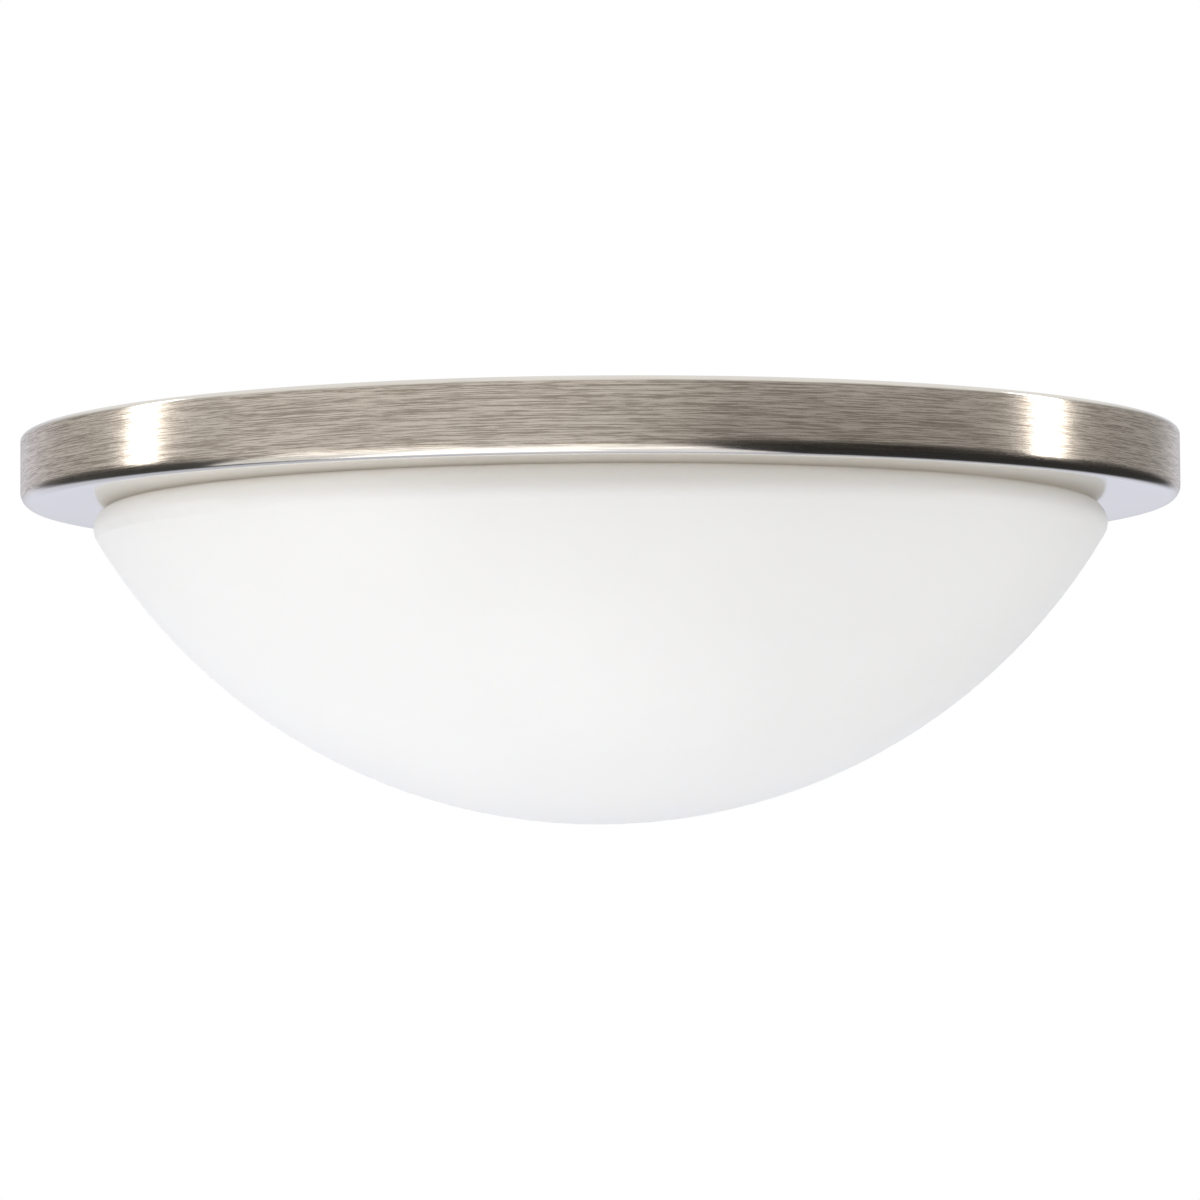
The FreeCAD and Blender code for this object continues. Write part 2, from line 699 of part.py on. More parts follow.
def globe_outline(wall):
    """Half of the globe's outline, a wall inside the outer one, from its seat to its tip."""
    widest_x = LAMP_LENGTH - LAMP_R
    run = widest_x - LAMP_SHOULDER_X
    rise = LAMP_R - LAMP_SHOULDER_R
    side_r = (run ** 2 + rise ** 2) / (2 * rise)
    side_turn = math.degrees(math.asin(run / side_r))
    side_centre = Vec(widest_x, 0, LAMP_R - side_r)
    side = arc_about(side_centre, side_r - wall, 90 + side_turn, 90)
    tip = arc_about(Vec(widest_x, 0, 0), LAMP_R - wall, 90, 0)
    return [side, tip]


def lamp_globe():
    """The frosted globe, a thin shell on the housing's shoulder."""
    outer = globe_outline(0)
    inner = globe_outline(GLOBE_WALL)
    seat = line(outer[0].Vertexes[0].Point, inner[0].Vertexes[0].Point)
    tip = line(outer[1].Vertexes[1].Point, inner[1].Vertexes[1].Point)
    globe = turned_about_x(closed_face(outer + inner + [seat, tip]))
    below_seat = rod_x(0, LAMP_SHOULDER_X, 0, 0, 2 * LAMP_R)
    return globe.cut(below_seat)


def lamp_board():
    """The round board of light sources inside the globe."""
    return rod_x(LAMP_SHOULDER_X, LAMP_SHOULDER_X + BOARD_T, 0, 0, BOARD_R)


# ------------------------------------------------------------------ clips and glass
def glass_clips():
    """Strips behind the collar with their hooks through its slots."""
    top_z = FLOOR_Z - OPENING_EDGE_R - CLIP_TOP_GAP
    path = [
        Vec(HOOK_TIP_R, 0, HOOK_TOP_Z),
        Vec(COLLAR_BACK_R, 0, HOOK_TOP_Z),
        Vec(COLLAR_BACK_R, 0, top_z),
    ]
    section = sheet_section(path, [CLIP_BEND_R], CLIP_STRIP)
    clips = []
    for angle in clip_angles():
        holes = []
        for side in (-1, 1):
            leg_back_r = COLLAR_BACK_R + CLIP_STRIP
            holes.append(clip_rivet(COLLAR_BACK_R - 1, leg_back_r + 1, CLIP_RIVET_R + FIT_GAP, angle, side))
        clips.append(sector(section, CLIP_ANGLE, angle).cut(holes))
    return Part.makeCompound(clips)


def clip_sleeves():
    """A soft sleeve over each hook, so that metal never bears on glass."""
    outer_bottom = HOOK_TOP_Z - CLIP_STRIP - SLEEVE_T
    outer = ring_section(HOOK_TIP_R - SLEEVE_T, OPENING_R - SLEEVE_T, outer_bottom, HOOK_TOP_Z + SLEEVE_T)
    hook = ring_section(HOOK_TIP_R, OPENING_R, HOOK_TOP_Z - CLIP_STRIP, HOOK_TOP_Z)
    sleeve = outer.cut(hook)
    return Part.makeCompound([sector(sleeve.Faces[0], CLIP_ANGLE, angle) for angle in clip_angles()])


def clip_rivets():
    """Two rivets through each clip and the collar, the inner head's edge on the round."""
    leg_back_r = COLLAR_BACK_R + CLIP_STRIP
    seat_r = math.sqrt(OPENING_R ** 2 - CLIP_RIVET_HEAD_R ** 2)
    levels = [
        (seat_r - CLIP_RIVET_HEAD_T, seat_r, CLIP_RIVET_HEAD_R),
        (seat_r, leg_back_r, CLIP_RIVET_R),
        (leg_back_r, leg_back_r + CLIP_RIVET_HEAD_T, CLIP_RIVET_HEAD_R),
    ]
    rivets = []
    for angle in clip_angles():
        for side in (-1, 1):
            rods = [clip_rivet(first, last, radius, angle, side) for first, last, radius in levels]
            rivets.append(rods[0].fuse(rods[1:]))
    return Part.makeCompound(rivets)


def neck_gasket():
    """A foam ring between the neck's end and the floor."""
    return turned(ring_section(NECK_BORE_R, NECK_R, LIP_TOP_Z, FLOOR_Z))


def glass_shade():
    """The bowl: lip, neck, flat seat under the pan, shoulder and crown, in one wall."""
    shoulder = Vec(GLASS_R - SHOULDER_R, 0, UNDERSIDE_Z - SHOULDER_R)
    apex_below = GLASS_DEPTH - SHOULDER_R
    crown_r = (shoulder.x ** 2 + apex_below ** 2 - SHOULDER_R ** 2) / (2 * (apex_below - SHOULDER_R))
    crown = Vec(0, 0, UNDERSIDE_Z - GLASS_DEPTH + crown_r)
    away = shoulder - crown
    meeting_angle = math.degrees(math.atan2(away.z, away.x))
    fillet = Vec(NECK_R + NECK_FILLET, 0, UNDERSIDE_Z + NECK_FILLET)
    outer = path_edges(
        [
            Vec(NECK_BORE_R, 0, LIP_TOP_Z),
            Vec(LIP_R, 0, LIP_TOP_Z),
            Vec(LIP_R, 0, LIP_BOTTOM_Z),
            Vec(NECK_R, 0, LIP_BOTTOM_Z),
            Vec(NECK_R, 0, UNDERSIDE_Z),
            Vec(shoulder.x, 0, UNDERSIDE_Z),
        ],
        [LIP_EDGE_R, LIP_EDGE_R, LIP_EDGE_R / 2, NECK_FILLET])
    outer.append(arc_about(shoulder, SHOULDER_R, 90, meeting_angle))
    outer.append(arc_about(crown, crown_r, meeting_angle, -90))
    inner = [arc_about(crown, crown_r - GLASS_WALL, -90, meeting_angle)]
    inner.append(arc_about(shoulder, SHOULDER_R - GLASS_WALL, meeting_angle, 90))
    seat_inside_z = UNDERSIDE_Z - GLASS_WALL
    inner.append(line(Vec(shoulder.x, 0, seat_inside_z), Vec(fillet.x, 0, seat_inside_z)))
    inner.append(arc_about(fillet, NECK_FILLET + GLASS_WALL, 270, 180))
    inner.append(line(Vec(NECK_BORE_R, 0, fillet.z), Vec(NECK_BORE_R, 0, LIP_TOP_Z)))
    apex_z = UNDERSIDE_Z - GLASS_DEPTH
    axis = line(Vec(0, 0, apex_z), Vec(0, 0, apex_z + GLASS_WALL))
    bowl = turned(closed_face(outer + inner + [axis]))
    notch_angle = CLIP_ANGLE + 2 * math.degrees(NOTCH_GAP / LIP_R)
    notch = ring_section(NECK_R, LIP_R + 1, LIP_BOTTOM_Z - LIP_EDGE_R, LIP_TOP_Z + 1)
    notches = [sector(notch, notch_angle, angle + NOTCH_TURN) for angle in clip_angles()]
    return bowl.cut(notches)


# ---------------------------------------------------------------------- write out
def save(shape, node):
    """One file for each node, after a look at its solids."""
    solids = shape.Solids
    print(node, "solids", len(solids), "valid", shape.isValid(), "volume", round(shape.Volume, 1))
    whole = solids[0] if len(solids) == 1 else Part.makeCompound(solids)
    whole.exportStep("parts/" + node + ".step")


os.makedirs("parts", exist_ok=True)
save(pan(), "pan")
save(reflector_plate(), "reflector_plate")
save(insulation_pad(), "insulation_pad")
save(mounting_bar(), "mounting_bar")
save(mounting_studs(), "mounting_studs")
save(mounting_washers(), "mounting_washers")
save(mounting_nuts(), "mounting_nuts")
save(ground_screw(), "ground_screw")
save(wire_bushing(), "wire_bushing")
save(leads(-1, "leads_black"), "leads_black")
save(leads(1, "leads_white"), "leads_white")
save(bracket_rivets(), "bracket_rivets")
save(glass_clips(), "glass_clips")
save(clip_sleeves(), "clip_sleeves")
save(clip_rivets(), "clip_rivets")
save(neck_gasket(), "neck_gasket")
save(glass_shade(), "glass_shade")
for lamp_number in range(1, LAMP_COUNT + 1):
    holder = "lampholder_" + str(lamp_number) + "_"
    save(at_lamp(lampholder_bracket(), lamp_number), holder + "bracket")
    save(at_lamp(lampholder_body(), lamp_number), holder + "body")
    save(at_lamp(lampholder_shell(), lamp_number), holder + "shell")
    save(at_lamp(lampholder_contact(), lamp_number), holder + "contact")
    save(at_lamp(lampholder_screws(), lamp_number), holder + "screws")
    lamp = "lamp_" + str(lamp_number) + "_"
    save(at_lamp(lamp_contact(), lamp_number), lamp + "contact")
    save(at_lamp(lamp_insulator(), lamp_number), lamp + "insulator")
    save(at_lamp(lamp_cap(), lamp_number), lamp + "cap")
    save(at_lamp(lamp_body(), lamp_number), lamp + "body")
    save(at_lamp(lamp_globe(), lamp_number), lamp + "globe")
    save(at_lamp(lamp_board(), lamp_number), lamp + "board")
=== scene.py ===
"""A flush mount ceiling light: brushed nickel pan, etched opal glass, two lamps inside."""
import math

import bmesh
import bpy
from mathutils import Euler, Matrix, Quaternion, Vector, noise


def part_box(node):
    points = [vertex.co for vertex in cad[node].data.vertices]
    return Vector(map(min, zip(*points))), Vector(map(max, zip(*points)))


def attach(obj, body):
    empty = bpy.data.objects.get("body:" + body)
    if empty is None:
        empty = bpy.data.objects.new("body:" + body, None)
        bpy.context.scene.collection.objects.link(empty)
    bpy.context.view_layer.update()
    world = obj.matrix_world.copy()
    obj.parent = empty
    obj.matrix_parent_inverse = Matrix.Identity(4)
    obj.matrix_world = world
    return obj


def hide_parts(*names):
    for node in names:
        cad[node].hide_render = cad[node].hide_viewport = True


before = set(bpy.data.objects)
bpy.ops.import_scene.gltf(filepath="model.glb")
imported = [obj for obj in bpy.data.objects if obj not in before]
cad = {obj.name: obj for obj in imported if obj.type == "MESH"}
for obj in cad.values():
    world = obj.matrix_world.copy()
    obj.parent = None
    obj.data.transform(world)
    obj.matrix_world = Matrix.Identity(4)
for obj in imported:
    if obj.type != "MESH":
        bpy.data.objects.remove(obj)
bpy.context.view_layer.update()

# ------------------------------------------------------------------------- the pan
# One stamping of steel sheet, nickel plated and then brushed round its axis on a
# turning table, so every stroke is a circle. Its turned-in rim lies on the ceiling.
MM = 0.001
NOISE_MIDDLE = (0.35, 0.65)
NOISE_SPREAD = (0.3, 0.7)
NICKEL_LIGHT = (0.86, 0.765, 0.66, 1)
# the dark stroke tone is partly the strokes' real grain and partly painted shade in their grooves
NICKEL_STROKE_SHADE = (0.44, 0.375, 0.31, 1)
NICKEL_SMOOTH = (0.81, 0.777, 0.718, 1)
NICKEL_SMOOTH_SHADE = (0.785, 0.752, 0.693, 1)
STROKE_WIDTH = 0.22 * MM
STROKE_LENGTH = 7 * MM
STROKE_DEPTH = 0.006 * MM
STROKE_SPREAD = (0.90, 1.08)
STROKE_ROUGH = (0.30, 0.20)
SMOOTH_ROUGH = (0.14, 0.12)
STROKES_END = 0.7
CLOUD_SIZE = 30 * MM
WALL_END_R = 177.6 * MM
SMOOTH_START_R = 176.2 * MM
RIM_START_Z = -1.8 * MM
RIM_END_Z = -0.9 * MM
MERGE_DISTANCE = 0.002 * MM


def finish_of(name, sockets=None):
    """A new material; the sockets of its shader are set by name."""
    material = bpy.data.materials.new(name)
    material.use_nodes = True
    shader = material.node_tree.nodes["Principled BSDF"]
    for socket, value in (sockets or {}).items():
        shader.inputs[socket].default_value = value
    return material, material.node_tree, shader


def add(tree, kind, sockets=None, **options):
    """Adds a node. Options are its own settings; sockets take a value or a link."""
    node = tree.nodes.new("ShaderNode" + kind)
    for option, value in options.items():
        setattr(node, option, value)
    for socket, value in (sockets or {}).items():
        if isinstance(value, bpy.types.NodeSocket):
            tree.links.new(value, node.inputs[socket])
        else:
            node.inputs[socket].default_value = value
    return node


def blend_of(tree, share, dark, light):
    """A colour between two, by a share from 0 to 1."""
    mix = add(tree, "Mix", {0: share, 6: dark, 7: light}, data_type="RGBA")
    return mix.outputs[2]


def between(tree, value, low, high, low_out=0.0, high_out=1.0):
    """A value's range from low to high, spread over another range."""
    sockets = {
        "Value": value, "From Min": low, "From Max": high,
        "To Min": low_out, "To Max": high_out}
    return add(tree, "MapRange", sockets).outputs["Result"]


def place_on_piece(tree):
    """The place on the piece, in metres from the light's origin."""
    return add(tree, "TexCoord").outputs["Object"]


def grain(tree, vector, size, detail=2.0, rough=0.5):
    """Noise with features of a given size, from 0 to 1."""
    sockets = {"Vector": vector, "Scale": 1 / size, "Detail": detail, "Roughness": rough}
    return add(tree, "TexNoise", sockets).outputs["Fac"]


def colour(tree, shader, tone):
    """Sets a shader's colour from a node."""
    tree.links.new(tone, shader.inputs["Base Color"])


def roughness(tree, shader, value):
    """Sets a shader's roughness from a node."""
    tree.links.new(value, shader.inputs["Roughness"])


def relief(tree, shader, height, depth, strength):
    """Gives a shader's surface a fine relief of a given depth."""
    bump = add(tree, "Bump", {"Height": height, "Distance": depth, "Strength": strength})
    tree.links.new(bump.outputs["Normal"], shader.inputs["Normal"])


def stroke_place(tree, axes, width, length):
    """A place that changes slowly along a stroke and fast across it, down the side wall."""
    across = add(tree, "Math", {0: axes.outputs["Z"], 1: length / width}, operation="MULTIPLY")
    place = add(tree, "CombineXYZ", {
        "X": axes.outputs["X"], "Y": axes.outputs["Y"], "Z": across.outputs[0]})
    return place.outputs[0]


def brushed_nickel():
    """Satin plate with circular strokes, which draw each highlight out across them.

    The wheel reaches the side wall only: round both edges the plate turns smooth.
    """
    material, tree, shader = finish_of("brushed_nickel", {
        "Metallic": 1.0, "Anisotropic": 0.75, "Anisotropic Rotation": 0.25})
    place = place_on_piece(tree)
    axes = add(tree, "SeparateXYZ", {"Vector": place})
    short_place = stroke_place(tree, axes, STROKE_WIDTH, STROKE_LENGTH)
    short = grain(tree, short_place, STROKE_LENGTH, detail=3.0, rough=0.65)
    long_place = stroke_place(tree, axes, STROKE_WIDTH, 3 * STROKE_LENGTH)
    long = grain(tree, long_place, 3 * STROKE_LENGTH, detail=2.0)
    both = add(tree, "Math", {0: short, 1: long}, operation="ADD").outputs[0]
    # partly painted shade: the brushed wall is darker than the smooth plate and darkest in the
    # stroke grooves, besides the strokes' real grain
    brushed = blend_of(tree, between(tree, both, *STROKE_SPREAD), NICKEL_STROKE_SHADE, NICKEL_LIGHT)
    flat = add(tree, "CombineXYZ", {"X": axes.outputs["X"], "Y": axes.outputs["Y"]})
    radius = add(tree, "VectorMath", {0: flat.outputs[0]}, operation="LENGTH").outputs["Value"]
    inward = between(tree, radius, WALL_END_R, SMOOTH_START_R)
    rim = between(tree, axes.outputs["Z"], RIM_START_Z, RIM_END_Z)
    smooth = add(tree, "Math", {0: inward, 1: rim}, operation="MAXIMUM").outputs[0]
    cloud = between(tree, grain(tree, place, CLOUD_SIZE, detail=3.0), *NOISE_MIDDLE)
    plain = blend_of(tree, cloud, NICKEL_SMOOTH_SHADE, NICKEL_SMOOTH)
    colour(tree, shader, blend_of(tree, smooth, brushed, plain))
    rough = between(tree, short, *NOISE_SPREAD, *STROKE_ROUGH)
    plain_rough = between(tree, cloud, 0.0, 1.0, *SMOOTH_ROUGH)
    both_rough = add(tree, "Mix", {0: smooth, 2: rough, 3: plain_rough}, data_type="FLOAT")
    roughness(tree, shader, both_rough.outputs[0])
    strokes = between(tree, smooth, 0.0, STROKES_END, 1.0, 0.0)
    relief(tree, shader, short, STROKE_DEPTH, strokes)
    round_the_axis = add(tree, "Tangent", direction_type="RADIAL", axis="Z")
    tree.links.new(round_the_axis.outputs["Tangent"], shader.inputs["Tangent"])
    return material


def dress(material, *names):
    """Gives frame nodes a material."""
    for name in names:
        mesh = cad[name].data
        for slot in range(max(1, len(mesh.materials))):
            if slot < len(mesh.materials):
                mesh.materials[slot] = material
            else:
                mesh.materials.append(material)


def mesh_of(name, shape):
    """A mesh with a bmesh's shape; the bmesh is used up."""
    mesh = bpy.data.meshes.new(name)
    shape.to_mesh(mesh)
    shape.free()
    return mesh


def in_scene(name, data):
    """A new object at the origin for a mesh, a camera or a lamp."""
    item = bpy.data.objects.new(name, data)
    bpy.context.scene.collection.objects.link(item)
    return item


def new_piece(name, mesh_maker, body, material):
    """A new smooth-shaded piece, its shape filled in by a function, riding on a body."""
    shape = bmesh.new()
    mesh_maker(shape)
    bmesh.ops.remove_doubles(shape, verts=shape.verts, dist=MERGE_DISTANCE)
    bmesh.ops.recalc_face_normals(shape, faces=shape.faces)
    mesh = mesh_of(name, shape)
    mesh.materials.append(material)
    mesh.shade_smooth()
    piece = in_scene(name, mesh)
    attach(piece, body)
    return piece


def outline_of(shape, points):
    """A closed run of edges through points in the XZ plane."""
    verts = [shape.verts.new((x, 0, z)) for x, z in points]
    pairs = list(zip(verts, verts[1:] + verts[:1]))
    return [shape.edges.new(pair) for pair in pairs]


def spun(shape, edges, steps):
    """The edges turned once round the Z axis."""
    verts = list(dict.fromkeys(vert for edge in edges for vert in edge.verts))
    bmesh.ops.spin(
        shape, geom=verts + edges, cent=(0, 0, 0), axis=(0, 0, 1), angle=math.tau,
        steps=steps, use_merge=True)


def bent(corners, radii):
    """Points along straight runs, each corner between two of them rounded.

    Corners are (r, z); the run starts at the first and goes to the last.
    """
    points = [corners[0]]
    for number, radius in enumerate(radii, start=1):
        corner = Vector(corners[number])
        back = (Vector(corners[number - 1]) - corner).normalized()
        ahead = (Vector(corners[number + 1]) - corner).normalized()
        centre = corner + (back + ahead) * radius
        for step in range(ARC_STEPS + 1):
            turn = step / ARC_STEPS * math.pi / 2
            arm = -ahead * radius * math.cos(turn) - back * radius * math.sin(turn)
            points.append(tuple(centre + arm))
    points.append(tuple(corners[-1]))
    return points


def pan_sheet(shape):
    """The stamping's section, outside and inside, turned round the axis."""
    t = PAN_SHEET
    edge_r, foot_r, opening_r = RIM_EDGE_R, FOOT_EDGE_R, OPENING_EDGE_R
    outer = [
        (PAN_R - RIM_WIDTH, 0), (PAN_R, 0), (PAN_R, UNDERSIDE_Z), (OPENING_R, UNDERSIDE_Z),
        (OPENING_R, PAN_FLOOR_Z), (0, PAN_FLOOR_Z)]
    inner = [
        (PAN_R - RIM_WIDTH, -t), (PAN_R - t, -t), (PAN_R - t, UNDERSIDE_Z + t),
        (OPENING_R + t, UNDERSIDE_Z + t), (OPENING_R + t, PAN_FLOOR_Z + t), (0, PAN_FLOOR_Z + t)]
    outside = bent(outer, [edge_r, foot_r, opening_r, opening_r])
    inside = bent(inner, [edge_r - t, foot_r - t, opening_r - t, opening_r + t])
    spun(shape, outline_of(shape, outside + inside[::-1]), PAN_STEPS)


def rod_along(shape, first, last, radius):
    """A rod from one point to another."""
    way = Vector(last) - Vector(first)
    turn = way.to_track_quat("Z", "Y").to_matrix().to_4x4()
    middle = Matrix.Translation((Vector(first) + Vector(last)) / 2) @ turn
    bmesh.ops.create_cone(
        shape, cap_ends=True, segments=ROD_SIDES, radius1=radius, radius2=radius,
        depth=way.length, matrix=middle)


def floor_punches(shape):
    """The holes in the floor: bushing, studs and bracket rivets."""
    low, high = PAN_FLOOR_Z - PUNCH_BEFORE, PAN_FLOOR_Z + PUNCH_AFTER
    places = [(0, BUSHING_Y, BUSHING_HOLE_R), (STUD_X, 0, STUD_HOLE_R), (-STUD_X, 0, STUD_HOLE_R)]
    for side in (-1, 1):
        for across in (-1, 1):
            y = side * LAMP_Y + across * RIVET_SPREAD / 2
            places.append((-side * RIVET_X, y, RIVET_HOLE_R))
    for x, y, radius in places:
        rod_along(shape, (x, y, low), (x, y, high), radius)


def collar_punches(shape):
    """The slots and rivet holes of the three clips in the collar."""
    size = Matrix.Diagonal((SLOT_PUNCH_DEPTH, 2 * SLOT_HALF, SLOT_TOP_Z - SLOT_BOTTOM_Z, 1))
    slot_z = (SLOT_TOP_Z + SLOT_BOTTOM_Z) / 2
    place = Matrix.Translation((OPENING_R + PAN_SHEET / 2, 0, slot_z))
    for degrees in CLIP_DEGREES:
        turn = Matrix.Rotation(math.radians(degrees), 4, "Z")
        bmesh.ops.create_cube(shape, size=1, matrix=turn @ place @ size)
        for side in (-1, 1):
            about = Matrix.Rotation(side * CLIP_RIVET_TURN, 4, "Z") @ turn
            first = about @ Vector((OPENING_R - PUNCH_BEFORE, 0, CLIP_RIVET_Z))
            last = about @ Vector((OPENING_R + PUNCH_AFTER, 0, CLIP_RIVET_Z))
            rod_along(shape, first, last, CLIP_HOLE_R)


def punched(piece, *punch_makers):
    """Cuts the punches out of a piece."""
    for punch_maker in punch_makers:
        punch_shape = bmesh.new()
        punch_maker(punch_shape)
        punch = in_scene("punches", mesh_of("punches", punch_shape))
        cut = piece.modifiers.new("cut", "BOOLEAN")
        cut.operation = "DIFFERENCE"
        cut.solver = "EXACT"
        cut.object = punch
        view = bpy.context.evaluated_depsgraph_get()
        punched_mesh = bpy.data.meshes.new_from_object(piece.evaluated_get(view))
        piece.modifiers.remove(cut)
        piece.data = punched_mesh
        bpy.data.objects.remove(punch)


PAN_R = 177.8 * MM
PAN_SHEET = 0.8 * MM
RIM_WIDTH = 5.0 * MM
RIM_EDGE_R = 1.5 * MM
FOOT_EDGE_R = 4.4 * MM
OPENING_R = 147.4 * MM
OPENING_EDGE_R = 1.2 * MM
UNDERSIDE_Z = -21.3 * MM
PAN_FLOOR_Z = -10.0 * MM
PAN_STEPS = 480
ARC_STEPS = 10
ROD_SIDES = 48
PUNCH_BEFORE = 2 * MM
PUNCH_AFTER = 3 * MM
SLOT_PUNCH_DEPTH = 3 * MM
EDGE_SHARP_FROM = math.radians(40)
BUSHING_Y = 22.0 * MM
BUSHING_HOLE_R = 8.93 * MM
STUD_X = 57.15 * MM
STUD_HOLE_R = 2.58 * MM
LAMP_Y = 36.0 * MM
RIVET_X = 72.2 * MM
RIVET_SPREAD = 12.0 * MM
RIVET_HOLE_R = 1.63 * MM
CLIP_DEGREES = (90, 210, 330)
CLIP_RIVET_TURN = 0.02714
CLIP_RIVET_Z = -13.85 * MM
CLIP_HOLE_R = 1.13 * MM
SLOT_HALF = 7.3 * MM
SLOT_TOP_Z = -16.3 * MM
SLOT_BOTTOM_Z = -18.4 * MM
stamping = new_piece("pan_stamping", pan_sheet, "fixture", brushed_nickel())
punched(stamping, floor_punches, collar_punches)
stamping.data.set_sharp_from_angle(angle=EDGE_SHARP_FROM)
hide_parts("pan")

# ------------------------------------------------------------------ reflector plate
# A flat disc of steel sheet, stoved in white enamel and riveted under the pan's floor.
# The enamel has a faint orange-peel surface.
ENAMEL = (0.90, 0.90, 0.885, 1)
ENAMEL_SHADE = (0.84, 0.84, 0.82, 1)
ENAMEL_CLOUD = 45 * MM
PEEL_SIZE = 1.6 * MM
PEEL_DEPTH = 0.03 * MM


def white_enamel():
    """Glossy white with a soft ripple and a slightly uneven tone."""
    material, tree, shader = finish_of("white_enamel", {"Roughness": 0.32, "Coat Weight": 0.3})
    place = place_on_piece(tree)
    cloud = between(tree, grain(tree, place, ENAMEL_CLOUD, detail=4.0, rough=0.6), *NOISE_MIDDLE)
    colour(tree, shader, blend_of(tree, cloud, ENAMEL_SHADE, ENAMEL))
    relief(tree, shader, grain(tree, place, PEEL_SIZE, detail=1.0), PEEL_DEPTH, strength=0.6)
    return material


dress(white_enamel(), "reflector_plate")

# ------------------------------------------------------------------- insulation pad
# A die-cut ring of glass-fibre felt that lies on the pan's floor and keeps the lamps'
# heat from the ceiling. It is soft, so its top swells a little between its cut edges.
PAD_INNER_R = 96 * MM
PAD_EDGE_R = 2.6 * MM
PAD_LUMP = 0.8 * MM
PAD_LUMPS_A_METRE = 60
PAD_STEPS = 180
PAD_RUNS = 9
RING_EDGE_STEPS = 4
LUMP_ROUGH = 0.8
LUMP_SCALE_STEP = 2.1
LUMP_SIZES = 4
LUMP_GAIN = 1.4
TANGLE_SIZE = 9 * MM
FIBRE_SIZE = 2.2 * MM
FIBRE_DEPTH = 0.5 * MM
FIBRE_SPREAD = (0.14, 0.36)
FIBRE_PALE = (0.90, 0.83, 0.60, 1)
FIBRE_DEEP = (0.72, 0.60, 0.33, 1)


def softened_ring(low, high, edge_r, runs):
    """Points round a rectangle with rounded corners; low and high are (r, z) corners.

    Its long sides are cut into a number of runs.
    """
    points = []
    corners = (
        (high[0], high[1], 0), (low[0], high[1], 90),
        (low[0], low[1], 180), (high[0], low[1], 270))
    for r, z, first_angle in corners:
        centre_r = r - math.copysign(edge_r, r - (low[0] + high[0]) / 2)
        centre_z = z - math.copysign(edge_r, z - (low[1] + high[1]) / 2)
        for step in range(RING_EDGE_STEPS + 1):
            angle = math.radians(first_angle + step * 90 / RING_EDGE_STEPS)
            along, up = edge_r * math.cos(angle), edge_r * math.sin(angle)
            points.append((centre_r + along, centre_z + up))
        if first_angle in (0, 180):
            across = high[0] - low[0] - 2 * edge_r
            way = -1 if first_angle == 0 else 1
            end_r, end_z = points[-1]
            points += [(end_r + way * across * n / runs, end_z) for n in range(1, runs)]
    return points


def felt_ring(shape):
    """The felt: a soft-edged ring whose faces swell and dip as loose fibre does."""
    low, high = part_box("insulation_pad")
    points = softened_ring((PAD_INNER_R, low.z), (high.x, high.z - PAD_LUMP), PAD_EDGE_R, PAD_RUNS)
    spun(shape, outline_of(shape, points), PAD_STEPS)
    middle_z = (low.z + high.z) / 2
    for vert in shape.verts:
        place = vert.co * PAD_LUMPS_A_METRE
        lump = noise.fractal(place, LUMP_ROUGH, LUMP_SCALE_STEP, LUMP_SIZES)
        radius = math.hypot(vert.co.x, vert.co.y)
        if vert.co.z > middle_z:
            vert.co.z += PAD_LUMP * max(-1.0, min(1.0, LUMP_GAIN * lump))
        outward = math.copysign(1, radius - (PAD_INNER_R + high.x) / 2)
        pull = 1 - outward * PAD_LUMP * abs(lump) / radius
        vert.co.x *= pull
        vert.co.y *= pull


def glass_felt():
    """Matted yellow fibre: tangled streaks at two sizes, with a rough surface."""
    material, tree, shader = finish_of("glass_felt", {
        "Roughness": 0.95, "Sheen Weight": 0.35, "Sheen Roughness": 0.6})
    place = place_on_piece(tree)
    tangle = grain(tree, place, TANGLE_SIZE, detail=5.0, rough=0.75)
    sockets = {"Vector": place, "Scale": 1 / FIBRE_SIZE, "Detail": 4.0, "Distortion": 3.5}
    fibre = add(tree, "TexNoise", sockets).outputs["Fac"]
    both = add(tree, "Math", {0: tangle, 1: fibre}, operation="MULTIPLY").outputs[0]
    colour(tree, shader, blend_of(tree, between(tree, both, *FIBRE_SPREAD), FIBRE_DEEP, FIBRE_PALE))
    relief(tree, shader, fibre, FIBRE_DEPTH, strength=0.9)
    return material


felt = new_piece("insulation_felt", felt_ring, "fixture", glass_felt())
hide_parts("insulation_pad")

# ------------------------------------------- mounting bar, studs, washers and bracket
# Strip steel, punched, bent and zinc plated in a barrel, so it is bright with a faint
# spangle. The bar lies on the outlet box; the studs hang from it through the floor.
ZINC_LIGHT = (0.74, 0.755, 0.77, 1)
ZINC_DARK = (0.56, 0.575, 0.60, 1)
SPANGLE_SIZE = 2.4 * MM
RUB_SIZE = 1.1 * MM
RUB_DEPTH = 0.02 * MM
ZINC_ROUGH = (0.24, 0.44)


def zinc_plate():
    """Bright plate with a small spangle and fine rub marks."""
    material, tree, shader = finish_of("zinc_plate", {"Metallic": 1.0})
    place = place_on_piece(tree)
    spangle = add(tree, "TexVoronoi", {"Vector": place, "Scale": 1 / SPANGLE_SIZE})
    tone = add(tree, "SeparateColor", {"Color": spangle.outputs["Color"]}).outputs[0]
    colour(tree, shader, blend_of(tree, tone, ZINC_DARK, ZINC_LIGHT))
    rub = grain(tree, place, RUB_SIZE, detail=4.0, rough=0.7)
    roughness(tree, shader, between(tree, rub, *NOISE_SPREAD, *ZINC_ROUGH))
    relief(tree, shader, rub, RUB_DEPTH, strength=0.5)
    return material


zinc = zinc_plate()
dress(zinc, "mounting_bar", "mounting_studs", "mounting_washers")
for number in (1, 2):
    dress(zinc, f"lampholder_{number}_bracket", f"lampholder_{number}_screws")
